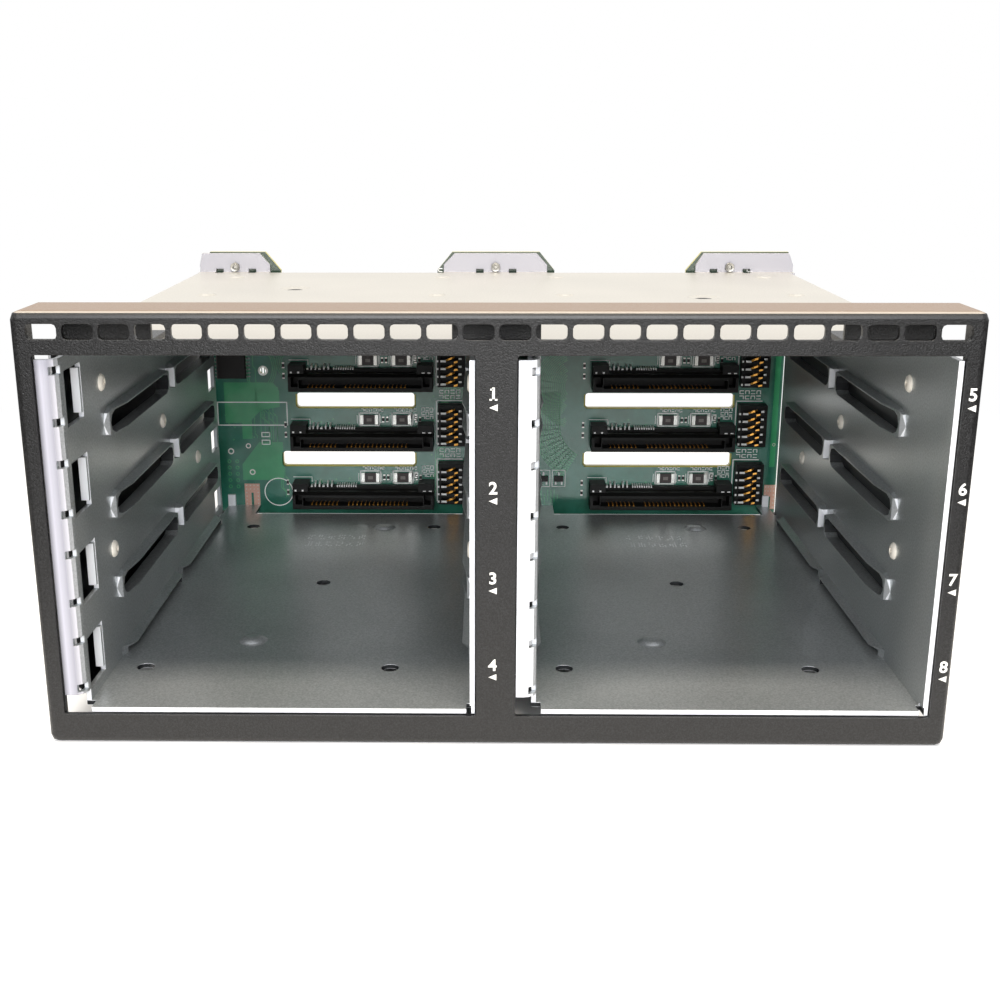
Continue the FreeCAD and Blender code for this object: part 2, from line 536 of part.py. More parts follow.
def divider_channel():
    """The channel between the two columns: a web level with the floors and a cheek on each tray wall."""
    left = -COLUMN_PITCH / 2 + TRAY_WIDTH / 2
    right = COLUMN_PITCH / 2 + LATCH_FACE - STEEL
    front, back = SHELL_FRONT + TOP_FLANGE_INSET, TRAY_BACK - DIVIDER_INSET
    outer = block(left, right, front, back, FLOOR_UNDER, TRAY_TOP)
    hollow = block(left + STEEL, right - STEEL, front - 1, back + 1, FLOOR, TRAY_TOP + 1)
    front_tongue = block(left + TONGUE_INSET[0], right - TONGUE_INSET[1], TAB_RIVET - TONGUE_END,
                         front + 1, FLOOR_UNDER, FLOOR)
    channel = join(outer.cut(hollow), [front_tongue])
    cutters = [stub((left - 1, y, z), (1, 0, 0), right - left + 2, SHANK_HOLE, flat=SHANK_ANGLE)
               for y, z in RIVETS]
    cutters.append(stub((0, TAB_RIVET, FLOOR_UNDER - 1), (0, 0, 1), STEEL + 2, SHANK_HOLE,
                        flat=SHANK_ANGLE))
    return channel.cut(cutters)


# ---------------------------------------------------------------- bezel
def bezel_shell():
    """The folded tray: a face with round corners, and four returns, the top one deeper."""
    half = BEZEL_WIDTH / 2
    t = BEZEL_STEEL
    bend = arc_points(BEZEL_BEND, BEZEL_BEND, BEZEL_BEND, -90, -90, FLAT_ANGLE / 2)
    rings = []
    for inset, y in bend + [(0, TOP_RETURN)]:
        outline = corner_outline(-half, half, 0, BEZEL_HEIGHT, BEZEL_CORNER, inset)
        rings.append([Vector(x, y, z) for x, z in outline])
    solid = skin(rings)
    hollow = block(-half + t, half - t, t, TOP_RETURN + 1, t, BEZEL_HEIGHT - t)
    shallow = block(-half - 1, half + 1, SIDE_RETURN, TOP_RETURN + 1, -1, BEZEL_HEIGHT - BEZEL_CORNER)
    return solid.cut([hollow, shallow])


def bezel_tabs():
    """Fixing tabs, three over the shell's top and one under the divider, and their rivet holes."""
    t = BEZEL_STEEL
    half = TAB_WIDTH / 2
    pieces, holes = [], []
    for x in TOP_TABS:
        pieces.append(block(x - half, x + half, TOP_RETURN - t, TOP_RETURN, SHELL_TOP,
                            BEZEL_HEIGHT - t / 2))
        pieces.append(block(x - half, x + half, TOP_RETURN - t, SHELL_FRONT + TAB_FOOT, SHELL_TOP,
                            SHELL_TOP + t))
        holes.append(stub((x, TAB_RIVET, SHELL_TOP - 1), (0, 0, 1), t + 2, SHANK_HOLE, flat=SHANK_ANGLE))
    pieces.append(block(-FOOT_HALF, FOOT_HALF, SIDE_RETURN - t, SIDE_RETURN, t / 2, FLOOR_UNDER))
    pieces.append(block(-FOOT_HALF, FOOT_HALF, SIDE_RETURN - t, SHELL_FRONT + TAB_FOOT, FLOOR_UNDER - t,
                        FLOOR_UNDER))
    holes.append(stub((0, TAB_RIVET, FLOOR_UNDER - t - 1), (0, 0, 1), t + 2, SHANK_HOLE,
                      flat=SHANK_ANGLE))
    return pieces, holes


def bezel_frame():
    pieces, holes = bezel_tabs()
    deep = BEZEL_STEEL + 1
    for column in COLUMNS:
        holes.append(rounded(column - OPENING_WIDTH / 2, column + OPENING_WIDTH / 2, OPENING_BOTTOM,
                             SHELL_TOP, OPENING_RADIUS, -1, deep))
    rise = BEZEL_HEIGHT - VENT_DROP
    for vent in range(VENTS):
        x = (vent - (VENTS - 1) / 2) * VENT_PITCH
        holes.append(rounded(x - VENT_WIDTH / 2, x + VENT_WIDTH / 2, rise - VENT_HEIGHT / 2,
                             rise + VENT_HEIGHT / 2, VENT_RADIUS, -1, deep))
    return join(bezel_shell(), pieces).cut(holes).removeSplitter()


# ---------------------------------------------------------------- rivets and screws
def rivet(start, direction, grip, shoulder=None):
    """A rivet set from start along direction, through a grip of sheet; shoulder = (from, to)."""
    axis = Vector(*direction)
    back = axis * -1
    head = stub(start, back, RIVET_RISE, RIVET_HEAD, 0.6 * RIVET_HEAD)
    pieces = [stub(start, axis, grip, RIVET_SHANK, flat=SHANK_ANGLE),
              stub(start + axis * grip, axis, RIVET_RISE, RIVET_HEAD, 0.8 * RIVET_HEAD, SHANK_ANGLE)]
    if shoulder:
        pieces.append(stub(start + axis * shoulder[0], axis, shoulder[1] - shoulder[0],
                           1.1 * RIVET_HEAD, flat=SHANK_ANGLE))
    return head.fuse(pieces).removeSplitter()


def wall_rivets():
    gap = LATCH_FLANGE - STEEL
    left = [Vector(COLUMNS[0] + LATCH_FACE, y, z) for y, z in RIVETS]
    found = [rivet(p, (-1, 0, 0), gap + 2 * STEEL, (STEEL, STEEL + gap)) for p in left]
    for y, z in RIVETS:
        found.append(rivet(Vector(COLUMNS[0] + PLAIN_FACE, y, z), (1, 0, 0), 2 * STEEL))
        found.append(rivet(Vector(COLUMNS[1] + LATCH_FACE, y, z), (-1, 0, 0), 2 * STEEL))
        found.append(rivet(Vector(COLUMNS[1] + PLAIN_FACE, y, z), (1, 0, 0), 2 * STEEL))
    return Part.makeCompound(found)


def bezel_rivets():
    grip = BEZEL_STEEL + STEEL
    found = [rivet(Vector(x, TAB_RIVET, SHELL_TOP + BEZEL_STEEL), (0, 0, -1), grip) for x in TOP_TABS]
    found.append(rivet(Vector(0, TAB_RIVET, FLOOR_UNDER - BEZEL_STEEL), (0, 0, 1), grip))
    return Part.makeCompound(found)


def board_screws():
    found = []
    for x in TAB_SCREWS:
        z = SHELL_TOP + SCREW_RISE
        head = stub((x, BOARD_BACK, z), (0, 1, 0), SCREW_HEAD_HEIGHT, SCREW_HEAD, 0.75 * SCREW_HEAD)
        front = BOARD_TAB_FACE - SCREW_TIP - STEEL
        shank = stub((x, front, z), (0, 1, 0), BOARD_BACK - front, SCREW_RADIUS, flat=SHANK_ANGLE)
        top = BOARD_BACK + SCREW_HEAD_HEIGHT
        cross = [block(x - dx, x + dx, top - CROSS_DEPTH, top + 1, z - dz, z + dz)
                 for dx, dz in ((CROSS_HALF, CROSS_SLIT), (CROSS_SLIT, CROSS_HALF))]
        found.append(head.fuse(shank).cut(cross))
    return Part.makeCompound(found)


# ---------------------------------------------------------------- backplane
def connector_left(column):
    return column + BAY_MIDDLE + CONNECTOR_SHIFT - CONNECTOR_WIDTH / 2


def airflow_slots():
    """The board's slots between the connector rows; the lowest on the left starts further out."""
    slots = []
    for column, (start, stop) in zip(COLUMNS, SLOT_REACH):
        for row in range(1, BAYS):
            top = CONNECTOR_BOTTOM + row * BAY_PITCH - SLOT_BELOW
            left = connector_left(column)
            extra = SLOT_EXTRA if column < 0 and row == 1 else 0
            slots.append((left + start - extra, left + CONNECTOR_WIDTH + stop, top - SLOT_HEIGHT, top))
    return slots


def backplane_board():
    """The board: ears behind the shell's tabs, airflow slots, screw holes and one plated hole."""
    y0, y1 = BOARD_FACE, BOARD_BACK
    board = block(BOARD_LEFT, BOARD_RIGHT, y0, y1, FLOOR_UNDER + BOARD_FOOT, BOARD_TOP)
    shoulder, peak = SHELL_TOP + EAR_SHOULDER, SHELL_TOP + EAR_RISE
    ears = [prism([(left, y0, BOARD_TOP - 1), (right, y0, BOARD_TOP - 1), (right, y0, shoulder),
                   (right - right_cut, y0, peak), (left + left_cut, y0, peak), (left, y0, shoulder)],
                  (0, BOARD_THICKNESS, 0)) for left, right, left_cut, right_cut in BOARD_EARS]
    board = join(board, ears)
    cutters = [rounded(x0, x1, z0, z1, SLOT_RADIUS, y0 - 1, y1 + 1) for x0, x1, z0, z1 in airflow_slots()]
    cutters += [stub((x, y0 - 1, SHELL_TOP + SCREW_RISE), (0, 1, 0), BOARD_THICKNESS + 2,
                     SCREW_RADIUS + SCREW_PLAY, flat=SHANK_ANGLE) for x in TAB_SCREWS]
    cutters.append(stub((BOARD_LEFT + BOARD_HOLE[0], y0 - 1, BOARD_HOLE[1]), (0, 1, 0),
                        BOARD_THICKNESS + 2, BOARD_HOLE_RADIUS))
    return board.cut(cutters).removeSplitter()


def drive_connector(x, z):
    """Receptacle: a long body with the plug's slot, and a taller guide post at each end."""
    front, right = BOARD_FACE - CONNECTOR_DEPTH, x + CONNECTOR_WIDTH
    body = block(x, right, front, BOARD_FACE, z, z + CONNECTOR_BODY)
    deep, high = BACK_STEP
    back_step = block(x, right, BOARD_FACE - deep, BOARD_FACE, z, z + CONNECTOR_BODY + high)
    posts = [block(x0, x0 + CONNECTOR_POST, front + POST_SETBACK, BOARD_FACE, z, z + CONNECTOR_HEIGHT)
             for x0 in (x, right - CONNECTOR_POST)]
    slot = block(x + PLUG_SLOT_END, right - PLUG_SLOT_END, front - 1, front + PLUG_SLOT_DEPTH,
                 z + PLUG_SLOT_RISE, z + PLUG_SLOT_RISE + PLUG_SLOT_HEIGHT)
    inset, width = GUIDE_SLOT
    guides = [block(x0, x0 + width, front - 1, front + PLUG_SLOT_DEPTH, z + GUIDE_SLOT_RISE[0],
                    z + GUIDE_SLOT_RISE[1]) for x0 in (x + inset, right - inset - width)]
    lip = prism([(x - 1, front, z + CONNECTOR_BODY), (x - 1, front + BODY_EDGE, z + CONNECTOR_BODY),
                 (x - 1, front, z + CONNECTOR_BODY - BODY_EDGE)], (CONNECTOR_WIDTH + 2, 0, 0))
    return join(body, [back_step] + posts).cut([slot, lip] + guides)


def contact_block(x, z):
    """Block of spring contacts: a low body with one groove for each way."""
    front = BOARD_FACE - BLOCK_DEPTH
    half = BLOCK_WIDTH / 2
    body = block(x - half, x + half, front, BOARD_FACE, z, z + BLOCK_HEIGHT)
    pitch = BLOCK_HEIGHT / (BLOCK_WAYS + GROOVE_SHARE[0])
    grooves = [block(x - half + BLOCK_RIM, x + half - BLOCK_RIM, front - 1, front + GROOVE_DEPTH,
                     z + (way + GROOVE_SHARE[0]) * pitch, z + (way + GROOVE_SHARE[1]) * pitch)
               for way in range(BLOCK_WAYS)]
    return body.cut(grooves)


def data_port(x, z):
    """Internal data port on the board's back: a metal cage round a plug slot."""
    half, end = PORT_WIDTH / 2, BOARD_BACK + PORT_DEPTH
    cage = block(x - half, x + half, BOARD_BACK, end, z, z + PORT_HEIGHT)
    mouth = block(x - half + PORT_WALL, x + half - PORT_WALL, BOARD_BACK + 2 * PORT_WALL, end + 1,
                  z + PORT_WALL, z + PORT_HEIGHT - PORT_WALL)
    off, wide, place, long = PORT_LATCH
    latch = [block(x + s * off - wide, x + s * off + wide, BOARD_BACK + place - long,
                   BOARD_BACK + place + long, z + PORT_HEIGHT - 2 * PORT_WALL, z + PORT_HEIGHT + 1)
             for s in (-1, 1)]
    wide, rise, thick, inside = PORT_TONGUE
    tongue = block(x - wide, x + wide, BOARD_BACK, end - inside, z + rise, z + rise + thick)
    return join(cage.cut([mouth] + latch), [tongue])


def header(x, z, ways):
    """Shrouded header: two rows of square sockets, each with its pin."""
    wall, pitch, end = HEADER_WALL, HEADER_PITCH, BOARD_BACK + PORT_DEPTH
    shroud = block(x, x + ways * pitch + 2 * wall, BOARD_BACK, end, z, z + 2 * pitch + 2 * wall)
    sockets, pins = [], []
    for way in range(ways):
        for row in range(2):
            cx, cz = x + wall + (way + 0.5) * pitch, z + wall + (row + 0.5) * pitch
            sockets.append(block(cx - SOCKET_HALF, cx + SOCKET_HALF, BOARD_BACK + SOCKET_FLOOR, end + 1,
                                 cz - SOCKET_HALF, cz + SOCKET_HALF))
            pins.append(block(cx - PIN_HALF, cx + PIN_HALF, BOARD_BACK + SOCKET_FLOOR / 2, end - PIN_INSET,
                              cz - PIN_HALF, cz + PIN_HALF))
    return join(shroud.cut(sockets), pins)


def controller_chip():
    """A moulded chip on the board's front, with its edges drawn in towards the top."""
    inset, z = CHIP_PLACE
    x = BOARD_LEFT + inset
    body = block(x, x + CHIP_SIDE, BOARD_FACE - CHIP_HEIGHT, BOARD_FACE, z, z + CHIP_SIDE)
    top = [e for e in body.Edges if abs(e.CenterOfMass.y - BOARD_FACE + CHIP_HEIGHT) < 0.01]
    return body.makeChamfer(0.25 * CHIP_HEIGHT, top)


def power_filters():
    """Two large chip parts above every drive connector."""
    found = []
    for column in COLUMNS:
        for bay in range(BAYS):
            z = CONNECTOR_BOTTOM + bay * BAY_PITCH + FILTER_RISE
            for place in FILTER_PLACES:
                x = connector_left(column) + place
                wide, high = FILTER_HALF
                found.append(block(x - wide, x + wide, BOARD_FACE - FILTER_DEPTH, BOARD_FACE, z - high,
                                   z + high))
    return Part.makeCompound(found)


# ---------------------------------------------------------------- the assembly
def main():
    os.makedirs("parts", exist_ok=True)
    tray = column_tray()
    for name, column in zip(("left", "right"), COLUMNS):
        moved = tray.copy()
        moved.translate(Vector(column, 0, 0))
        save(name + "_column_tray", moved)
    save("cage_shell", cage_shell())
    save("divider_channel", divider_channel())
    save("bezel_frame", bezel_frame())
    save("wall_rivets", wall_rivets())
    save("bezel_rivets", bezel_rivets())
    save("board_screws", board_screws())
    save("backplane_board", backplane_board())
    for number in range(1, 2 * BAYS + 1):
        column = COLUMNS[(number - 1) // BAYS]
        rise = (BAYS - 1 - (number - 1) % BAYS) * BAY_PITCH
        save("drive_connector_%d" % number,
             drive_connector(connector_left(column), CONNECTOR_BOTTOM + rise))
        save("contact_block_%d" % number,
             contact_block(column + BAY_MIDDLE + BLOCK_SHIFT, FLOOR_UNDER + BLOCK_RISE + rise))
    save("controller_chip", controller_chip())
    save("power_filters", power_filters())
    for name, column, dx in zip(("left", "right"), COLUMNS, PORT_PLACES):
        save("data_port_" + name, data_port(column + dx, PORT_RISE))
    for name, column, (dx, z), ways in (("power", COLUMNS[1], POWER_HEADER, POWER_WAYS),
                                        ("signal", COLUMNS[0], SIGNAL_HEADER, SIGNAL_WAYS)):
        save(name + "_header", header(column + dx, z, ways))


main()
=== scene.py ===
"""Hot swap drive cage, dressed: two zinc plated trays in a folded shell, a black bezel, a green backplane."""
import math
import random

import bmesh
import bpy
from mathutils import Matrix, Vector


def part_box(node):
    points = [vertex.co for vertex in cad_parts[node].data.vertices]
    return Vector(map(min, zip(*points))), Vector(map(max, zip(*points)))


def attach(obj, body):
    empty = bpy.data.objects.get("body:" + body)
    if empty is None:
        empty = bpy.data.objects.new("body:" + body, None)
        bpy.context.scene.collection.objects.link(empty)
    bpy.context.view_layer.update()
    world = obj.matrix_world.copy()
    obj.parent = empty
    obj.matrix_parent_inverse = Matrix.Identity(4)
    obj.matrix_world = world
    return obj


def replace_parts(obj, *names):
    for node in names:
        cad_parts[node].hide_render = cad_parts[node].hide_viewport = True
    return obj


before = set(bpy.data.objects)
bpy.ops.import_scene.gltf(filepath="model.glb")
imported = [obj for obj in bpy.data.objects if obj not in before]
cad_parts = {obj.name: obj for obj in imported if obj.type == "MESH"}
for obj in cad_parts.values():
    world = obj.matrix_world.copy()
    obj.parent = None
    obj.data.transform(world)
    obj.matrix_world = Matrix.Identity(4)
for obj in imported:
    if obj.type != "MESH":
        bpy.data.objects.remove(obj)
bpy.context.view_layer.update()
MM = 0.001


# ---------------------------------------------------------------- column trays, shell and divider
# Folded sheet steel, 1 mm thick, cut and pressed on a punching machine and then bright zinc plated.
# The trays slide into the shell from the front and are riveted to it through their side walls.
def linear(code):
    """An sRGB hex colour as linear RGBA."""
    parts = [int(code[k:k + 2], 16) / 255 for k in (1, 3, 5)]
    return tuple(c / 12.92 if c <= 0.04045 else ((c + 0.055) / 1.055) ** 2.4 for c in parts) + (1.0,)


def add(tree, kind, inputs=None, **settings):
    """Adds one node. An input is a value, an output that feeds it, or a node whose first output does."""
    item = tree.nodes.new(kind)
    for name, value in settings.items():
        setattr(item, name, value)
    for socket, source in (inputs or {}).items():
        if isinstance(source, bpy.types.Node):
            source = source.outputs[0]
        if isinstance(source, bpy.types.NodeSocket):
            tree.links.new(source, item.inputs[socket])
        else:
            item.inputs[socket].default_value = source
    return item


def calc(tree, operation, *inputs):
    return add(tree, "ShaderNodeMath", dict(enumerate(inputs)), operation=operation)


def remap(tree, value, low, high, to_low=0.0, to_high=1.0):
    """Carries the range from low to high over to another one, and stops at its ends."""
    return add(tree, "ShaderNodeMapRange", {"Value": value, "From Min": low, "From Max": high,
                                            "To Min": to_low, "To Max": to_high})


def blend(tree, share, first, second):
    return add(tree, "ShaderNodeMixRGB", {"Fac": share, "Color1": first, "Color2": second})


def ramp(tree, share, *stops):
    """A colour ramp through stops of position and hex colour."""
    item = add(tree, "ShaderNodeValToRGB", {"Fac": share})
    elements = item.color_ramp.elements
    for element, (position, code) in zip(elements, (stops[0], stops[-1])):
        element.position, element.color = position, linear(code)
    for position, code in stops[1:-1]:
        elements.new(position).color = linear(code)
    return item


def noise(tree, place, size, detail, roughness=0.5):
    return add(tree, "ShaderNodeTexNoise", {"Vector": place, "Scale": 1 / size, "Detail": detail,
                                            "Roughness": roughness})


def split(tree, vector):
    """A vector's X, Y and Z."""
    return add(tree, "ShaderNodeSeparateXYZ", {"Vector": vector}).outputs


def facing(tree, kind="True Normal"):
    """X, Y and Z of the way a surface faces."""
    return split(tree, add(tree, "ShaderNodeNewGeometry").outputs[kind])


def new_finish(name):
    """An empty material, its node tree, and the place on the piece in its own axes."""
    material = bpy.data.materials.new(name)
    material.use_nodes = True
    tree = material.node_tree
    tree.nodes.clear()
    return material, tree, add(tree, "ShaderNodeTexCoord").outputs["Object"]


def close_finish(tree, shader):
    add(tree, "ShaderNodeOutputMaterial", {"Surface": shader})


def dress(material, *nodes):
    """Gives CAD nodes their finish."""
    for name in nodes:
        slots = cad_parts[name].material_slots
        for slot in slots:
            slot.material = material
        if not slots:
            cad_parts[name].data.materials.append(material)


SHEET = 1.0 * MM
BOARD_TABS = 60.0 * MM                   # the tabs that hold the board are behind and above this
FLANGE = (-86.6 * MM, -82.0 * MM)        # the left tray's front flange, from side to side
FLANGE_EDGE = -82.1 * MM
FLANGE_BACK = -77.5 * MM
# Painted shading of the left flange's rounded fold, in bands from side to side
FLANGE_PAINTED_SHADING = ((0.0, "#6c6c74"), (0.25, "#b6b6c2"), (0.55, "#9696a1"), (0.9, "#dcdce4"))
IN_FLOOR = (7.0 * MM, 0.43 * MM)         # middle of the floor's sheet, and how far its cut walls reach
FLOOR_FRONT = -78.5 * MM                 # the floor's own front edge isn't in shade
SLOT_ENDS = (-4.3 * MM, 46.2 * MM)       # rear ends of the rails' slots, which lie in shade
SLOT_END_REACH = 2.6 * MM


def forward_tone(tree, where):
    """Painted light and shade on forward faces: dimmer on the board's tabs, in bands over the left flange."""
    x, y, z = where
    on_tabs = calc(tree, "MULTIPLY", calc(tree, "GREATER_THAN", y, BOARD_TABS),
                   calc(tree, "GREATER_THAN", z, BOARD_TABS))
    # Painted light: forward faces pale, with painted shade on the board's tabs
    plain = blend(tree, on_tabs, linear("#f0f3f9"), linear("#a0a0a9"))
    on_flange = calc(tree, "MULTIPLY", calc(tree, "LESS_THAN", x, FLANGE_EDGE),
                     calc(tree, "LESS_THAN", y, FLANGE_BACK))
    return blend(tree, on_flange, plain, ramp(tree, remap(tree, x, *FLANGE), *FLANGE_PAINTED_SHADING))


def in_shade(tree, where, forward):
    """1 on the walls of the floor's holes and on the rear ends of the rails' slots."""
    _, y, z = where
    shade = calc(tree, "MULTIPLY", calc(tree, "COMPARE", z, *IN_FLOOR),
                 calc(tree, "GREATER_THAN", y, FLOOR_FRONT))
    for middle in SLOT_ENDS:
        slot_end = calc(tree, "MULTIPLY", calc(tree, "COMPARE", y, middle, SLOT_END_REACH), forward)
        shade = calc(tree, "MAXIMUM", slot_end, shade)
    return shade


def zinc_plated_steel(name, light, dark, smoothest, roughest, shaded_inside=None):
    """Zinc plated sheet: satin metal with fine rolling lines and a sparkle of small crystals.

    Faces that look forwards get a paler colour, painted light; the board's tabs and the left flange get
    painted shade there, in bands over the flange. Hole walls and slot ends get painted shade. The last
    argument gives the half width and height inside which the sheet is closed in by another one, where it
    is painted dark as painted shade of the narrow gap.
    """
    steel, tree, place = new_finish(name)
    where = split(tree, place)
    rolled = add(tree, "ShaderNodeMapping", {"Vector": place,
                                             "Scale": (1 / (0.30 * MM), 1 / (9.0 * MM), 1 / (0.30 * MM))})
    lines = noise(tree, rolled, 1.0, 3.0, 0.6)
    cloud = noise(tree, place, 26.0 * MM, 1.0)
    specks = noise(tree, place, 0.45 * MM, 3.0, 0.7)
    colour = ramp(tree, calc(tree, "MULTIPLY_ADD", cloud, 0.35, specks), (0.50, dark), (0.85, light))
    forward = remap(tree, facing(tree)["Y"], -0.45, -0.8)
    # Painted light: faces that look forwards take a paler, less metallic colour
    colour = blend(tree, forward, colour, forward_tone(tree, where))
    colour = blend(tree, in_shade(tree, where, forward), colour, linear("#2e3032"))
    if shaded_inside:
        half, top = shaded_inside
        # Painted shade: where the sheet is closed in by another one, its colour is darkened
        painted_gap_shade = calc(tree, "MULTIPLY", calc(tree, "LESS_THAN", calc(tree, "ABSOLUTE", where["X"]), half),
                         calc(tree, "LESS_THAN", where["Z"], top))
        colour = blend(tree, painted_gap_shade, colour, linear("#26282a"))
    edge = add(tree, "ShaderNodeBevel", {"Radius": 0.22 * MM}, samples=4)
    relief = add(tree, "ShaderNodeBump", {"Strength": 0.16, "Distance": 0.012 * MM, "Height": lines,
                                          "Normal": edge})
    close_finish(tree, add(tree, "ShaderNodeBsdfPrincipled", {
        "Base Color": colour, "Metallic": remap(tree, forward, 0.0, 1.0, 0.6, 0.05),
        "Roughness": remap(tree, specks, 0.0, 1.0, roughest, smoothest), "Normal": relief}))
    return steel


shell_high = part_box("cage_shell")[1]
trays_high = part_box("left_column_tray")[1]
tray_steel = zinc_plated_steel("bright zinc plated steel, trays", "#bcc0c2", "#979c9e", 0.25, 0.34)
shell_steel = zinc_plated_steel("bright zinc plated steel, shell", "#d9d5cc", "#cbc8c0", 0.30, 0.42,
                                shaded_inside=(shell_high.x - 0.5 * SHEET, trays_high.z + 0.5 * SHEET))
dress(tray_steel, "left_column_tray", "right_column_tray", "divider_channel")
dress(shell_steel, "cage_shell")


# ---------------------------------------------------------------- bezel
# One folded tray of 1.1 mm steel with two openings and a row of vents, black powder coated.
# The coat levels into a fine orange peel. Its top is painted tan, painted light from the overhead lamp,
# and the fold to the face carries a pale painted highlight.
TOP_LEVEL = 87.0 * MM                    # only the bezel's top and its fold's last turn are above this
FOLD_BACK = -78.3 * MM                   # and only the folds to the face are in front of this


def powder_coat():
    paint, tree, place = new_finish("black textured powder coat")
    peel = noise(tree, place, 0.34 * MM, 3.0, 0.6)
    coat = ramp(tree, peel, (0.38, "#010101"), (0.70, "#202022"))
    edge = add(tree, "ShaderNodeBevel", {"Radius": 0.3 * MM}, samples=4)
    relief = add(tree, "ShaderNodeBump", {"Strength": 1.0, "Distance": 0.09 * MM, "Height": peel,
                                          "Normal": edge})
    upward = facing(tree, "Normal")["Z"]
    where = split(tree, place)
    high = calc(tree, "GREATER_THAN", where["Z"], TOP_LEVEL)
    on_top = calc(tree, "MULTIPLY", remap(tree, upward, 0.6, 0.98), high)
    on_fold = calc(tree, "MULTIPLY", calc(tree, "COMPARE", upward, 0.45, 0.4),
                   calc(tree, "LESS_THAN", where["Y"], FOLD_BACK))
    # Painted highlight: a pale line along the fold's upper turn
    painted_fold_highlight = calc(tree, "MULTIPLY", on_fold, high)
    flatter = calc(tree, "SUBTRACT", on_fold, painted_fold_highlight)
    # Painted light: faces that look upwards turn a warm tan
    painted_top_light = blend(tree, on_top, coat, linear("#86705c"))
    close_finish(tree, add(tree, "ShaderNodeBsdfPrincipled", {
        "Base Color": blend(tree, painted_fold_highlight, painted_top_light, linear("#a89f94")), "Roughness": 0.34, "IOR": 1.5,
        "Normal": blend(tree, flatter, relief, (0.0, -1.0, 0.0, 1.0))}))
    return paint


dress(powder_coat(), "bezel_frame")
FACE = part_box("bezel_frame")[0].y        # the plane of the bezel's face


# ---------------------------------------------------------------- bay numbers
# White pad printed numbers, each with a small triangle under it that points at its bays.
# The ink is opaque and slightly chalky, and lies on the powder coat's texture.
def flat_finish(name, colour, roughness, metallic=0.0, grain=0.2 * MM, specular=0.5, mottle=0.75):
    """A finish of one material whose surface is slightly uneven in tone, gloss and height."""
    material, tree, place = new_finish(name)
    speck = noise(tree, place, grain, 3.0)
    tone = add(tree, "ShaderNodeMixRGB", {"Fac": speck, "Color1": linear(colour),
                                          "Color2": (mottle, mottle, mottle, 1.0)}, blend_type="MULTIPLY")
    edge = add(tree, "ShaderNodeBevel", {"Radius": 0.06 * MM}, samples=4)
    relief = add(tree, "ShaderNodeBump", {"Strength": 0.1, "Distance": 0.02 * MM, "Height": speck,
                                          "Normal": edge})
    close_finish(tree, add(tree, "ShaderNodeBsdfPrincipled", {
        "Base Color": tone, "Metallic": metallic, "Specular IOR Level": specular, "Normal": relief,
        "Roughness": remap(tree, speck, 0.0, 1.0, 0.85 * roughness, 1.15 * roughness)}))
    return material


CREASE = math.radians(35)


def piece(name, draw, material):
    """Makes one piece from what draw builds, gives it its finish and fixes it to the cage."""
    bm = bmesh.new()
    draw(bm)
    bmesh.ops.recalc_face_normals(bm, faces=bm.faces)
    for face in bm.faces:
        face.smooth = True
    for edge in bm.edges:
        edge.smooth = edge.calc_face_angle(math.pi) < CREASE
    mesh = bpy.data.meshes.new(name)
    bm.to_mesh(mesh)
    bm.free()
    mesh.materials.append(material)
    thing = bpy.data.objects.new(name, mesh)
    bpy.context.scene.collection.objects.link(thing)
    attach(thing, "root")
    return thing


def extrude(bm, outline, offset):
    """A closed solid from an outline of points and the way it is extruded."""
    near = [bm.verts.new(point) for point in outline]
    far = [bm.verts.new(Vector(point) + Vector(offset)) for point in outline]
    bm.faces.new(near)
    bm.faces.new(list(reversed(far)))
    for k in range(len(near)):
        bm.faces.new((near[k - 1], near[k], far[k], far[k - 1]))


def plate(bm, x0, x1, z0, z1, y, thick):
    """An upright rectangular plate that starts at y."""
    extrude(bm, [(x0, y, z0), (x1, y, z0), (x1, y, z1), (x0, y, z1)], (0, thick, 0))


NUMBER_HEIGHT = 2.5 * MM
NUMBER_WIDEN = 0.06 * MM                 # how far the strokes are widened to each side
MARK_THICKNESS = 0.02 * MM
BAY_PITCH = 18.2 * MM
FIRST_NUMBER = 72.0 * MM                 # height of the top number's middle
TRIANGLE_DROP = 2.6 * MM
TRIANGLE = (1.6 * MM, 1.35 * MM)
NUMBER_COLUMNS = (-0.6 * MM, 88.4 * MM)


def glyph(number):
    """A number's points, from its middle and in its full height, and the points of each face."""
    curve = bpy.data.curves.new("bay_number", "FONT")
    curve.body = str(number)
    curve.size = NUMBER_HEIGHT
    curve.resolution_u = 6
    curve.offset = NUMBER_WIDEN
    writer = bpy.data.objects.new("bay_number", curve)
    sheet = bpy.data.meshes.new_from_object(writer)
    xs, ys = [v.co.x for v in sheet.vertices], [v.co.y for v in sheet.vertices]
    scale = NUMBER_HEIGHT / (max(ys) - min(ys))
    middle_x, middle_y = (min(xs) + max(xs)) / 2, (min(ys) + max(ys)) / 2
    points = [((x - middle_x) * scale, (y - middle_y) * scale) for x, y in zip(xs, ys)]
    faces = [list(polygon.vertices) for polygon in sheet.polygons]
    bpy.data.objects.remove(writer)
    bpy.data.meshes.remove(sheet)
    return points, faces


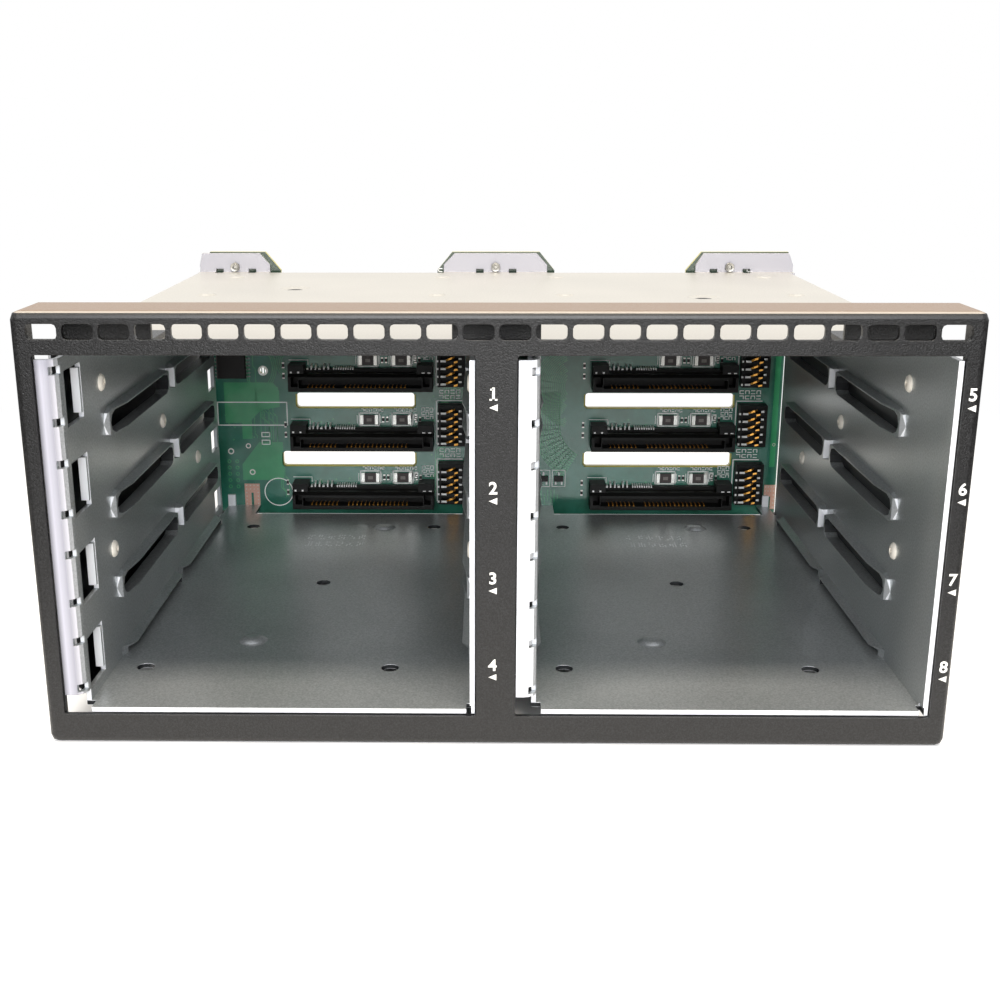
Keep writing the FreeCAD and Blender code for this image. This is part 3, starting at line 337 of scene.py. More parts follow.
def print_numbers(bm):
    for number in range(1, 9):
        x = NUMBER_COLUMNS[(number - 1) // 4]
        z = FIRST_NUMBER - (number - 1) % 4 * BAY_PITCH
        points, faces = glyph(number)
        verts = [bm.verts.new((x + right, FACE - MARK_THICKNESS, z + up)) for right, up in points]
        for corners in faces:
            bm.faces.new([verts[k] for k in corners])
        if number == 1:                  # a foot and a flag
            foot, half = 0.33 * MM, NUMBER_HEIGHT / 2
            plate(bm, x - 0.75 * MM, x + 0.75 * MM, z - half, z - half + foot, FACE, -MARK_THICKNESS)
            flag = z + half - 1.7 * foot
            plate(bm, x - 0.62 * MM, x, flag, flag + foot, FACE, -MARK_THICKNESS)
        wide, tall = TRIANGLE
        z -= TRIANGLE_DROP
        extrude(bm, [(x - wide / 2, FACE, z), (x + wide / 2, FACE, z - tall / 2),
                     (x + wide / 2, FACE, z + tall / 2)], (0, -MARK_THICKNESS, 0))


white_ink = flat_finish("white pad printing ink", "#f4f4f0", 0.55)
piece("bay_numbers", print_numbers, white_ink)


# ---------------------------------------------------------------- rivets
# Aluminium rivets with low domed heads, set through tray wall and shell; their middles stay hollow.
# Those that hold the bezel are the same rivets, black.
def loose_boxes(name):
    """The lowest and highest corner of every separate solid in a CAD node."""
    bm = bmesh.new()
    bm.from_mesh(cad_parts[name].data)
    bmesh.ops.remove_doubles(bm, verts=bm.verts, dist=0.001 * MM)
    left, boxes = set(bm.verts), []
    while left:
        heap, group = [left.pop()], []
        while heap:
            vert = heap.pop()
            group.append(vert.co.copy())
            for edge in vert.link_edges:
                other = edge.other_vert(vert)
                if other in left:
                    left.remove(other)
                    heap.append(other)
        boxes.append((Vector([min(c[k] for c in group) for k in range(3)]),
                      Vector([max(c[k] for c in group) for k in range(3)])))
    bm.free()
    return boxes


def turned(bm, base, axis, profile, steps=28):
    """Turns pairs of radius and distance about an axis through base."""
    base, axis = Vector(base), Vector(axis)
    side = axis.orthogonal().normalized()
    up = axis.cross(side)
    rings = []
    for radius, along in profile:
        centre = base + axis * along
        turns = range(steps) if radius > 0 else range(1)
        rings.append([bm.verts.new(centre + (side * math.cos(math.tau * k / steps)
                                             + up * math.sin(math.tau * k / steps)) * radius) for k in turns])
    for a, b in zip(rings, rings[1:]):
        for k in range(steps):
            corners = [a[(k - 1) % len(a)], a[k % len(a)], b[k % len(b)], b[(k - 1) % len(b)]]
            corners = list(dict.fromkeys(corners))
            if len(corners) > 2:
                bm.faces.new(corners)


def rivet_profile(radius, length):
    """Head, shank and tail of a rivet along its length; both heads have a small hollow."""
    rise, hole, shank = 0.8 * MM, 0.62 * MM, 1.2 * MM
    return [(0, 0.55 * MM), (hole, 0.55 * MM), (hole, 0.12 * MM), (hole + 0.12 * MM, 0),
            (0.62 * radius, 0.06 * MM), (0.86 * radius, 0.28 * MM), (radius, 0.62 * MM), (radius, rise),
            (shank, rise), (shank, length - rise), (radius, length - rise),
            (radius, length - 0.35 * MM), (0.8 * radius, length), (hole, length),
            (hole, length - 0.5 * MM), (0, length - 0.5 * MM)]


RIVET_HEAD = 1.85 * MM


def set_rivets(name):
    """Draws a CAD node's rivets, each along its own axis from its end nearer the cage's middle."""
    def draw(bm):
        for low, high in loose_boxes(name):
            size, middle = high - low, (low + high) / 2
            across = 0 if name == "wall_rivets" else max(range(3), key=lambda k: size[k])
            side = 1 if middle[across] > 0 else -1
            outward, base = Vector((0, 0, 0)), middle.copy()
            outward[across] = side
            base[across] = low[across] if side > 0 else high[across]
            turned(bm, base, outward, rivet_profile(RIVET_HEAD, size[across]))
    return draw


rivet_aluminium = flat_finish("plain aluminium, cold headed", "#fff9ee", 0.34, 0.12, 0.3 * MM, mottle=0.94)
black_rivet = flat_finish("black lacquered aluminium", "#242424", 0.4, 0.0, 0.3 * MM)
wall_set = piece("set_wall_rivets", set_rivets("wall_rivets"), rivet_aluminium)
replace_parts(wall_set, "wall_rivets")
bezel_set = piece("set_bezel_rivets", set_rivets("bezel_rivets"), black_rivet)
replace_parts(bezel_set, "bezel_rivets")


# ---------------------------------------------------------------- pressed buttons and stamped marks
# Each tray's floor has two smooth pressed buttons, and two rows of small dots stamped near the back.
# Both are the tray's own plated sheet; the punch burnishes the dots' rims.
# All in millimetres: places are from the tray's middle and behind the bezel's face.
BUTTONS = ((-9.6, 36.3), (13.6, 123.0))
BUTTON_TURN = ((3.3, 0.0), (2.8, 0.2), (2.45, 0.47), (1.98, 0.76), (1.5, 0.88), (0.8, 0.96), (0, 1.0))
STAMP_LEFT, STAMP_FRONT = -7.2, 106.0
DOT_PITCH = (0.72, 1.05)
TRAY_FLOOR = 7.5 * MM
tray_boxes = [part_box(name) for name in ("left_column_tray", "right_column_tray")]
TRAY_MIDDLES = [(low.x + high.x) / 2 for low, high in tray_boxes]


def press_buttons(bm):
    for middle in TRAY_MIDDLES:
        for x, y in BUTTONS:
            turned(bm, (middle + x * MM, FACE + y * MM, TRAY_FLOOR), (0, 0, 1),
                   [(r * MM, h * MM) for r, h in BUTTON_TURN], 32)


def stamp_dots(bm):
    rng = random.Random(5)
    for middle in TRAY_MIDDLES:
        for row in range(10):
            for k in range(24):
                if row in (4, 5) or k % 4 == 3 or rng.random() < 0.45:
                    continue
                x = middle + (STAMP_LEFT + k * DOT_PITCH[0]) * MM
                turned(bm, (x, FACE + (STAMP_FRONT + row * DOT_PITCH[1]) * MM, TRAY_FLOOR), (0, 0, 1),
                       [(0.27 * MM, 0), (0.2 * MM, 0.06 * MM), (0, 0.07 * MM)], 8)


piece("floor_buttons", press_buttons, tray_steel)
stamp_steel = flat_finish("burnished zinc plate", "#e4e8ea", 0.4, 0.2, 0.3 * MM)
piece("floor_stamps", stamp_dots, stamp_steel)


# ---------------------------------------------------------------- backplane board
# A 1.6 mm glass epoxy board, etched, covered in green solder mask and printed in white.
# Under the mask, copper areas read lighter; routed edges show bare yellow laminate.
EARS = 78.0 * MM                         # above this the board is only the ears behind the tabs


def solder_mask(name, base, light):
    material, tree, place = new_finish(name)
    weave = noise(tree, place, 9.0 * MM, 5.0, 0.6)
    forward = facing(tree)["Y"]
    cut = calc(tree, "LESS_THAN", calc(tree, "ABSOLUTE", forward), 0.5)
    colour = blend(tree, cut, ramp(tree, weave, (0.36, base), (0.66, light)), linear("#c9be35"))
    # Painted shade: the ears' front faces, behind the shell's tabs, are darkened
    painted_ear_shade = calc(tree, "MULTIPLY", calc(tree, "GREATER_THAN", split(tree, place)["Z"], EARS),
                      calc(tree, "LESS_THAN", forward, -0.5))
    relief = add(tree, "ShaderNodeBump", {"Strength": 0.12, "Distance": 0.02 * MM,
                                          "Height": noise(tree, place, 0.5 * MM, 2.0)})
    close_finish(tree, add(tree, "ShaderNodeBsdfPrincipled", {
        "Base Color": blend(tree, painted_ear_shade, colour, linear("#1d3325")), "Roughness": 0.28,
        "Coat Weight": 0.4, "Coat Roughness": 0.12, "Normal": relief}))
    return material


mask = solder_mask("green solder mask on glass epoxy", "#195d49", "#2c7362")
mask_on_copper = solder_mask("green solder mask on copper", "#2f8a5c", "#3a9a68")
dress(mask, "backplane_board")
FRONT, BACK = (corner.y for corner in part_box("backplane_board"))      # the board's two planes
FILM = 0.03 * MM                         # copper, mask and ink stand this far off the board


def strip(bm, points, width, plane=FRONT, lift=FILM):
    """A flat line of constant width on the board, through points of (x, z)."""
    side = -1 if plane == FRONT else 1
    for (x0, z0), (x1, z1) in zip(points, points[1:]):
        run = Vector((x1 - x0, 0, z1 - z0))
        if run.length < 1e-7:
            continue
        run.normalize()
        across = Vector((-run.z, 0, run.x)) * (width / 2)
        a = Vector((x0, plane, z0)) - run * (width * 0.4)
        b = Vector((x1, plane, z1)) + run * (width * 0.4)
        extrude(bm, [a - across, b - across, b + across, a + across], (0, side * lift, 0))


def disc(bm, x, z, radius, hole=0.0, plane=FRONT, lift=FILM, steps=16):
    """A flat disc or ring on the board."""
    turn = [(hole, 0), (radius, 0), (radius, lift), (hole, lift)] + ([(hole, 0)] if hole else [])
    turned(bm, (x, plane, z), (0, -1 if plane == FRONT else 1, 0), turn, steps)


def at(*pairs):
    """Points of (x, z) given in millimetres."""
    return [(x * MM, z * MM) for x, z in pairs]


POURS = (at((-81.5, 46.0), (-66.5, 46.0), (-64.8, 43.5), (-64.8, 38.5), (-70.5, 37.5), (-73.5, 34.5),
            (-73.5, 28.5), (-76.5, 28.5), (-76.5, 33.5), (-81.5, 33.5)),
         at((-77.0, 20.5), (-71.5, 27.5), (-64.3, 27.5), (-64.3, 15.5), (-77.0, 15.5)),
         at((84.6, 20.0), (86.2, 20.0), (86.2, 60.0), (84.6, 60.0)))


def pour_copper(bm):
    for outline in POURS:
        extrude(bm, [(x, FRONT, z) for x, z in outline], (0, -FILM / 2, 0))


# Conductors, in millimetres. Bundles: x from and to, z from and to, count. Arcs: middle, inner
# radius, from and to in degrees, count. The sweep: its first conductor and its bend's height.
CONDUCTOR = 0.26 * MM
BUNDLES = ((-63.8, -62.2, 10, 76, 3), (-21.0, -17.5, 8, 76, 5), (-8.4, -5.5, 10, 70, 4),
           (-72.0, -64.5, 28, 45, 6), (9.0, 21.0, 8, 13, 12), (9.5, 21.5, 60, 77, 12))
ARCS = ((25.5, 45.0, 4.0, 100, 265, 17), (-74.0, 50.5, 7.5, -60, 40, 3), (-60.5, 52.0, 3.2, 120, 235, 4))
OPEN_TO = 22.4                           # the right hand connectors start beyond this
SWEEP_LEFT, SWEEP_BEND, SWEEP_TOP = 12.4, 33.0, 43.0


def route_bundles(bm):
    """Bundles of parallel conductors with 45 degree turns, between the connectors' columns."""
    rng = random.Random(7)
    for x0, x1, z0, z1, count in BUNDLES:
        pitch = (x1 - x0) / count
        turns = []
        z = z0 + rng.uniform(1, 3)
        while z < z1 - 5:
            turns.append((z, rng.choice((-1, 1)) * rng.uniform(0.6, 2.6)))
            z += rng.uniform(4, 9)
        for k in range(count):
            x, z = x0 + k * pitch, z0 + rng.uniform(0, 2)
            points = [(x, z)]
            for at_z, shift in turns:
                start = at_z + 0.35 * k * pitch * (1 if shift > 0 else -1)
                if start <= points[-1][1] + 0.4 or start + abs(shift) > z1:
                    continue
                points += [(x, start), (x + shift, start + abs(shift))]
                x += shift
            points.append((x, z1 - rng.uniform(0, 2)))
            strip(bm, at(*points), CONDUCTOR, lift=0.6 * FILM)


def arc(x, z, radius, start, stop, steps):
    """Points round a middle, from one angle to another in degrees."""
    angles = [math.radians(start + (stop - start) * n / steps) for n in range(steps + 1)]
    return [(x + radius * math.cos(angle), z + radius * math.sin(angle)) for angle in angles]


def route_copper(bm):
    """Bundles, arcs round the right hand column's free laminate, and wide conductors that sweep right."""
    route_bundles(bm)
    for x, z, radius, start, stop, count in ARCS:
        for k in range(count):
            points = [point for point in arc(x, z, radius + 0.56 * k, start, stop, 14) if point[0] < OPEN_TO]
            strip(bm, at(*points), CONDUCTOR, lift=0.6 * FILM)
    for k in range(11):
        x, reach = SWEEP_LEFT + 0.78 * k, 18.6 - 0.78 * k
        bend = arc(x + reach, SWEEP_BEND, reach, 180, 240, 10)
        strip(bm, at((x, SWEEP_TOP), *bend), 0.42 * MM, lift=0.6 * FILM)


VIA_GROUPS = ((-82, -65, 28, 45, 16), (8.5, 22, 8, 76, 70), (-20.4, -17, 8, 76, 18),
              (-60, -24, 14.8, 16.2, 8), (-60, -24, 33, 35, 8), (30, 66, 33, 35, 8), (30, 66, 14.8, 16.2, 8))


def tent_vias(bm):
    """Small mask covered vias, in loose groups beside the conductors and one regular block."""
    rng = random.Random(11)
    for x0, x1, z0, z1, count in VIA_GROUPS:
        for _ in range(count):
            disc(bm, rng.uniform(x0, x1) * MM, rng.uniform(z0, z1) * MM, 0.28 * MM, 0.1 * MM,
                 lift=0.8 * FILM, steps=10)
    for column in range(2):
        for row in range(5):
            disc(bm, (-81.0 + 2.4 * column) * MM, (13.4 + 2.0 * row) * MM, 0.62 * MM, 0.3 * MM,
                 lift=0.8 * FILM)


BACK_BUNDLES = ((-10.0, 40.0, -4.0, 70.0, 7), (20.0, 22.0, 4.0, 64.0, 8), (-78.0, 12.0, -70.0, 70.0, 5),
                (34.0, 12.0, 8.0, 20.0, 5))      # x and z from, x and z to, count


def route_back(bm):
    """Bundles up the board's back: straight, a 45 degree stretch, and straight again."""
    rng = random.Random(3)
    for x0, z, x1, z1, count in BACK_BUNDLES:
        for k in range(count):
            x, far_x, far_z = x0 + 0.8 * k, x1 + 0.8 * k, z1 - rng.uniform(0, 3)
            run = min(abs(far_x - x), far_z - z)
            turn = (x, z + (far_z - z - run) * 0.5)
            bend = (turn[0] + run * (1 if far_x > x else -1), turn[1] + run)
            strip(bm, at((x, z), turn, bend, (bend[0], far_z)), 0.3 * MM, BACK, 0.6 * FILM)


piece("copper_pours", pour_copper, mask_on_copper)
piece("copper_routes", route_copper, mask_on_copper)
piece("tented_vias", tent_vias, mask_on_copper)
piece("back_routes", route_back, mask_on_copper)

# White printing: frames round the filters, a label frame, a ring and small ticks, all without words.
board_ink = flat_finish("white board printing ink", "#fbfdfb", 0.5, mottle=0.95)
LINE = 0.34 * MM
MARK_LINE = 0.24 * MM
CONNECTORS = [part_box("drive_connector_%d" % number) for number in range(1, 9)]
BLOCKS = [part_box("contact_block_%d" % number) for number in range(1, 9)]
TRANSISTORS = ((15.6, 16.2), (20.3, 16.2))
LABEL_FRAME = (-83.7, -62.6, 32.8, 39.9)     # in millimetres, left, right, foot and top
RING = (-66.1, 11.7, 4.5, 4.2)               # middle, outer and inner radius
PAIR_FRAME = (-70.6, -68.2, 1.3)             # left, right and height of two frames, one over the other
PAIR_FEET = (26.8, 29.2)
FILTERS = loose_boxes("power_filters")


def frame_line(bm, x0, x1, z0, z1, width=LINE, plane=FRONT):
    strip(bm, [(x0, z0), (x1, z0), (x1, z1), (x0, z1), (x0, z0)], width, plane)


def dashes(bm, x, z, wide, tall, kind):
    """A small mark of three strokes, which stands for no letter."""
    strip(bm, [(x, z + tall), (x + wide, z + tall)], MARK_LINE)
    strip(bm, [(x, z), (x + wide, z)] if kind % 2 else [(x + wide, z), (x + wide, z + tall)], MARK_LINE)
    if kind % 3:
        strip(bm, [(x, z), (x, z + tall)], MARK_LINE)


def print_filters(bm):
    """A frame round each filter, a bar at each end of it and a row of marks above."""
    for low, high in FILTERS:
        gap = 0.55 * MM
        frame_line(bm, low.x - gap, high.x + gap, low.z - gap, high.z + gap)
        for side in (low.x - 1.2 * MM, high.x + 0.9 * MM):
            strip(bm, [(side, low.z + 0.2 * MM), (side, high.z - 0.2 * MM)], 0.2 * MM)
        for k in range(6):
            dashes(bm, low.x + (0.2 + 1.15 * k) * MM, high.z + 1.1 * MM, 0.75 * MM, 0.75 * MM, k)


def print_connectors(bm):
    """Marks at the right end of each connector, frames round its resistors, and a corner at its left."""
    for low, high in CONNECTORS:
        for row in range(3):
            for k in range(3):
                dashes(bm, high.x - (3.6 - 1.25 * k) * MM, high.z + (0.8 + 1.3 * row) * MM,
                       0.85 * MM, 0.8 * MM, row + k)
        for left in (7.6, 6.0):
            frame_line(bm, high.x - left * MM, high.x - (left - 1.0) * MM, high.z + 0.4 * MM,
                       high.z + 2.2 * MM, 0.2 * MM)
        strip(bm, [(low.x - 0.4 * MM, high.z + 0.6 * MM), (low.x + 5.3 * MM, high.z + 0.6 * MM),
                   (low.x + 5.3 * MM, high.z - 0.9 * MM)], 0.2 * MM)


def print_blocks(bm):
    """A corner line and two rows of marks for each block of spring contacts."""
    for low, high in BLOCKS:
        strip(bm, [(low.x - 0.5 * MM, low.z), (low.x - 0.5 * MM, high.z + 0.6 * MM),
                   (high.x - 1.0 * MM, high.z + 0.6 * MM)], LINE)
        for row in range(2):
            for k in range(4):
                dashes(bm, low.x + (0.4 + 1.7 * k) * MM, high.z + (1.3 + 1.6 * row) * MM,
                       1.1 * MM, 0.9 * MM, row + k)


def print_board(bm):
    print_filters(bm)
    print_connectors(bm)
    print_blocks(bm)
    for x, z in TRANSISTORS:
        frame_line(bm, (x - 2.0) * MM, (x + 2.0) * MM, (z - 2.6) * MM, (z + 2.6) * MM, 0.2 * MM)
    frame_line(bm, *[side * MM for side in LABEL_FRAME])
    disc(bm, *[size * MM for size in RING], steps=48)
    x0, x1, tall = PAIR_FRAME
    for z in PAIR_FEET:
        frame_line(bm, x0 * MM, x1 * MM, z * MM, (z + tall) * MM, 0.3 * MM)


def print_back(bm):
    """Outlines printed round the ports and headers on the back."""
    for name in ("power_header", "signal_header", "data_port_left", "data_port_right"):
        low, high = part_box(name)
        gap = 0.9 * MM
        frame_line(bm, low.x - gap, high.x + gap, low.z - gap, high.z + gap, 0.3 * MM, BACK)


piece("board_printing", print_board, board_ink)
piece("back_printing", print_back, board_ink)

# Bare copper: plated holes, test lands and the two contact lands that the trays' tabs press on.
tin = flat_finish("bright tin plate", "#dcdbd6", 0.3, 0.55, 0.4 * MM)
copper = flat_finish("bare rolled copper", "#dcb09f", 0.42, 0.25, 0.4 * MM)
HOLES = ((-69.4, 49.6, 1.5), (-80.3, 24.6, 0.95), (-74.9, 26.3, 0.8), (-74.0, 18.0, 0.9),
         (85.6, 27.0, 0.5))              # x, z and the radius of the plated ring


def plate_holes(bm):
    for x, z, radius in HOLES:
        disc(bm, x * MM, z * MM, radius * MM, 0.62 * radius * MM, lift=2 * FILM, steps=24)


LANDS = ((-76.7, -72.0, 7.4, 14.3), (83.5, 86.9, 6.6, 14.3))
FINGER = (0.7, 4.0)                      # bare gap up the middle of a land: width and height


def lay_lands(bm):
    for x0, x1, z0, z1 in LANDS:
        middle, (gap, tall) = (x0 + x1) / 2, FINGER
        shape = at((x0, z0), (middle - gap / 2, z0), (middle - gap / 2, z0 + tall),
                   (middle + gap / 2, z0 + tall), (middle + gap / 2, z0), (x1, z0), (x1, z1), (x0, z1))
        extrude(bm, [(x, FRONT, z) for x, z in shape], (0, -FILM, 0))


def tin_lands(bm):
    """Rows of tiny tinned spots that stand on the copper."""
    for x0, x1, z0, z1 in LANDS:
        for row in range(6):
            for k in range(4):
                x, z = x0 + (k + 0.5) * (x1 - x0) / 4, z0 + (row + 0.5) * (z1 - z0) / 6
                if abs(x - (x0 + x1) / 2) > FINGER[0] or z > z0 + FINGER[1] + 0.5:
                    disc(bm, x * MM, z * MM, 0.2 * MM, lift=1.6 * FILM, steps=8)


def slot_places():
    """The board's airflow slots, one under each connector but the lowest: x from and to, z from and to."""
    places = []
    for number, (low, high) in enumerate(CONNECTORS):
        if number % 4 != 3:
            left_end, right_end = (1.6 * MM, -5.8 * MM) if number < 4 else (-1.7 * MM, -0.1 * MM)
            further = 4.8 * MM if number == 2 else 0.0       # bay 3's slot runs on to the left
            places.append((low.x + left_end - further, high.x + right_end, low.z - 5.9 * MM,
                           low.z - 1.5 * MM))
    return places


def bare_rims(bm):
    """The mask stops short of the airflow slots, so their lower edges and ends show bare laminate."""
    out = 0.2 * MM
    for x0, x1, z0, z1 in slot_places():
        strip(bm, [(x0 - out, z1 - 0.6 * MM), (x0 - out, z0 + 0.4 * MM), (x0 + 0.4 * MM, z0 - out),
                   (x1 - 0.4 * MM, z0 - out), (x1 + out, z0 + 0.4 * MM), (x1 + out, z1 - 0.6 * MM)], 0.42 * MM,
              lift=0.5 * FILM)


laminate = flat_finish("bare glass epoxy laminate", "#c2b83c", 0.5, 0.0, 0.3 * MM)
piece("bare_slot_rims", bare_rims, laminate)
piece("plated_holes", plate_holes, tin)
piece("contact_lands", lay_lands, copper)
piece("tinned_spots", tin_lands, tin)


# ---------------------------------------------------------------- drive connectors
# Glass filled black nylon bodies, moulded with a matt surface; each holds a row of gold plated leaves,
# 7 and 15 of them, whose tinned tails are soldered to the board along the body's back.
black_nylon = flat_finish("black glass filled nylon", "#0e0e0d", 0.5, 0.0, 0.35 * MM, specular=0.22)
for number in range(1, 9):
    dress(black_nylon, "drive_connector_%d" % number, "contact_block_%d" % number)
gold = flat_finish("hard gold plate", "#dca04a", 0.32, 0.75, 0.3 * MM)
LEAF_PITCH = 1.27 * MM


def leaf_places(low):
    """Left edges of the leaves: seven signal leaves, a gap, fifteen power leaves."""
    first = low.x + 5.6 * MM
    signal = [first + k * LEAF_PITCH for k in range(7)]
    return signal + [signal[-1] + 3.6 * MM + k * LEAF_PITCH for k in range(15)]


# Sides of the two leaves of a contact, in millimetres back from the body's front and above its floor.
LOWER_LEAF = ((0.9, 0.0), (1.4, 0.0), (1.7, 0.25), (2.3, 0.35), (4.6, 0.1), (4.6, 0.3), (2.3, 0.55),
              (1.5, 0.42), (1.1, 0.2), (0.9, 0.2))
UPPER_LEAF = ((2.0, 2.5), (2.4, 2.5), (3.0, 2.2), (4.6, 2.3), (4.6, 2.5), (3.0, 2.35))


def set_leaves(bm):
    for low, _ in CONNECTORS:
        floor = low.z + 1.1 * MM
        for x in leaf_places(low):
            for side, wide in ((LOWER_LEAF, 0.34 * MM), (UPPER_LEAF, 0.45 * MM)):
                extrude(bm, [(x, low.y + y * MM, floor + z * MM) for y, z in side], (wide, 0, 0))


# Tinned tails, in millimetres along the body, high and wide: on its two end blocks, and along its back.
END_TAILS = ((0.92, 0.5, 0.55), (3.1, 0.5, 0.55), (40.2, 0.3, 0.9), (42.0, 0.3, 0.9))
BACK_TAILS = ([(5.4, 0.3, 0.6), (6.5, 1.3, 0.42), (7.8, 1.3, 0.42), (9.0, 0.3, 0.7), (10.3, 1.3, 0.42),
               (11.6, 1.3, 0.42)] + [(13.3 + 0.71 * k, 0.6, 0.36) for k in range(9)])
TAIL_INSET = 2.25 * MM


def set_tails(bm):
    for low, high in CONNECTORS:
        for along, tall, wide in END_TAILS:
            left, z0 = low.x + (along - wide / 2) * MM, high.z - 2.4 * MM
            plate(bm, left, left + wide * MM, z0, z0 + tall * MM, low.y + 0.55 * MM, 0.1 * MM)
        top = low.z + 6.2 * MM
        for along, tall, wide in BACK_TAILS:
            left, y0 = low.x + (along - wide / 2) * MM, FRONT - TAIL_INSET
            extrude(bm, [(left, y0, top - 0.3 * MM), (left, y0, top + 0.55 * tall * MM),
                         (left, FRONT, top + tall * MM), (left, FRONT, top)], (wide * MM, 0, 0))


piece("gold_leaves", set_leaves, gold)
matt_tin = flat_finish("matt tin plate", "#fbfbfa", 0.5, 0.1, 0.4 * MM, mottle=0.92)
piece("solder_tails", set_tails, matt_tin)


# ---------------------------------------------------------------- spring contact blocks
# Low nylon blocks with five sprung contacts each: a tinned tail on the left, a bowed gold leaf that
# crosses the groove upwards to the right, and its tinned foot.
def bar(bm, a, b, half, thick=0.15 * MM):
    """A flat bar from a to b that faces forwards; half is half its height."""
    up = Vector((0, 0, half))
    a, b = Vector(a), Vector(b)
    extrude(bm, [a - up, b - up, b + up, a + up], (0, thick, 0))


BLOCK_PITCHES = 5.45                     # a block's height in pitches of its contacts


def ways(low, high):
    """Heights of a block's five contacts, and their pitch."""
    pitch = (high.z - low.z) / BLOCK_PITCHES
    return [low.z + (way + 0.62) * pitch for way in range(5)], pitch


BOW = ((2.3, 0.15, -0.22), (3.3, -0.3, 0.0), (4.4, -0.45, 0.18), (5.2, 0.0, 0.3))    # heights in pitches


def set_springs(bm):
    for low, high in BLOCKS:
        heights, pitch = ways(low, high)
        for z in heights:
            points = [(low.x + x * MM, low.y + y * MM, z + up * pitch) for x, y, up in BOW]
            for a, b in zip(points, points[1:]):
                bar(bm, a, b, 0.3 * MM)
            bar(bm, (low.x + 4.9 * MM, low.y - 0.1 * MM, z - 0.42 * pitch),
                (low.x + 6.0 * MM, low.y - 0.25 * MM, z - 0.3 * pitch), 0.28 * MM)


def set_spring_tails(bm):
    for low, high in BLOCKS:
        heights, pitch = ways(low, high)
        for z in heights:
            for x0, x1, up in ((0.9, 2.5, -0.25), (6.3, 7.2, 0.05), (-0.25, 0.3, -0.25)):
                bar(bm, (low.x + x0 * MM, low.y - 0.12 * MM, z + up * pitch),
                    (low.x + x1 * MM, low.y - 0.12 * MM, z + up * pitch), 0.3 * MM, 0.2 * MM)


piece("gold_springs", set_springs, gold)
piece("spring_tails", set_spring_tails, matt_tin)


# ---------------------------------------------------------------- chips and small board parts
# A moulded epoxy chip with gull wing legs, ferrite filters with tinned ends, and small resistors.
epoxy = flat_finish("black moulded epoxy", "#1b1718", 0.5, 0.0, 0.25 * MM, specular=0.35)
ferrite = flat_finish("fired ferrite", "#4c4444", 0.55, 0.0, 0.3 * MM)
ferrite_mark = flat_finish("grey pad printing on ferrite", "#8d8884", 0.6, 0.0, 0.3 * MM)
dress(epoxy, "controller_chip")
dress(ferrite, "power_filters")
chip_low, chip_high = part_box("controller_chip")


def fit_ends(bm):
    """Tinned ends of the filters, wrapped round their bodies."""
    for low, high in FILTERS:
        lip = 0.04 * MM
        for x0 in (low.x - 0.25 * MM, high.x - 0.75 * MM):
            plate(bm, x0, x0 + 1.0 * MM, low.z - lip, high.z + lip, low.y - lip, high.y - low.y)


def mark_filters(bm):
    """A printed grey field on each filter's face."""
    for low, high in FILTERS:
        middle = (low + high) / 2
        bar(bm, (middle.x - 0.75 * MM, low.y - 0.01 * MM, middle.z),
            (middle.x + 0.75 * MM, low.y - 0.01 * MM, middle.z), 0.5 * MM, 0.02 * MM)


def small_places():
    """Middles of the small resistors: pairs between and beside the filters."""
    places = [(high.x + dx * MM, (low.z + high.z) / 2) for low, high in FILTERS for dx in (1.75, 2.95)]
    for low, high in CONNECTORS:
        places += [(high.x - 7.1 * MM, high.z + 1.3 * MM), (high.x - 5.5 * MM, high.z + 1.3 * MM),
                   (low.x - 2.2 * MM, high.z - 1.0 * MM), (low.x - 2.2 * MM, high.z - 4.2 * MM)]
    return places


def fit_small_bodies(bm):
    for x, z in small_places():
        plate(bm, x - 0.32 * MM, x + 0.32 * MM, z - 0.5 * MM, z + 0.5 * MM, FRONT, -0.45 * MM)


def fit_small_ends(bm):
    for x, z in small_places():
        for z0 in (z - 0.85 * MM, z + 0.5 * MM):
            plate(bm, x - 0.34 * MM, x + 0.34 * MM, z0, z0 + 0.35 * MM, FRONT, -0.47 * MM)


LEG = ((0, 0.6), (0.35, 0.6), (0.6, 0.12), (1.2, 0.12), (1.2, 0), (0.45, 0), (0.25, 0.45), (0, 0.45))
LEGS = 8                                 # down each side


def bend_legs(bm):
    """Gull wing legs down both long sides of the chip."""
    span = chip_high.z - chip_low.z
    for k in range(LEGS):
        z = chip_low.z + (k + 0.5) * span / LEGS
        for x, side in ((chip_low.x, -1), (chip_high.x, 1)):
            extrude(bm, [(x + side * u * MM, FRONT - v * MM, z - 0.2 * MM) for u, v in LEG],
                    (0, 0, 0.4 * MM))


def fit_transistors(bm):
    """Two small three legged packages on the right hand column's free laminate."""
    for x, z in TRANSISTORS:
        plate(bm, (x - 1.4) * MM, (x + 1.4) * MM, (z - 0.8) * MM, (z + 0.8) * MM, FRONT, -1.0 * MM)


def solder_transistors(bm):
    for x, z in TRANSISTORS:
        for u, v in ((-0.95, -1.5), (0.95, -1.5), (0.0, 1.5)):
            plate(bm, (x + u - 0.25) * MM, (x + u + 0.25) * MM, (z + v - 0.5) * MM, (z + v + 0.5) * MM,
                  FRONT, -0.15 * MM)


piece("filter_ends", fit_ends, tin)
piece("filter_marks", mark_filters, ferrite_mark)
piece("small_bodies", fit_small_bodies, epoxy)
piece("small_transistors", fit_transistors, epoxy)
piece("transistor_legs", solder_transistors, matt_tin)
piece("small_ends", fit_small_ends, tin)
dull_tin = flat_finish("dull dipped tin", "#8b938f", 0.5, 0.3, 0.3 * MM)
piece("chip_legs", bend_legs, dull_tin)


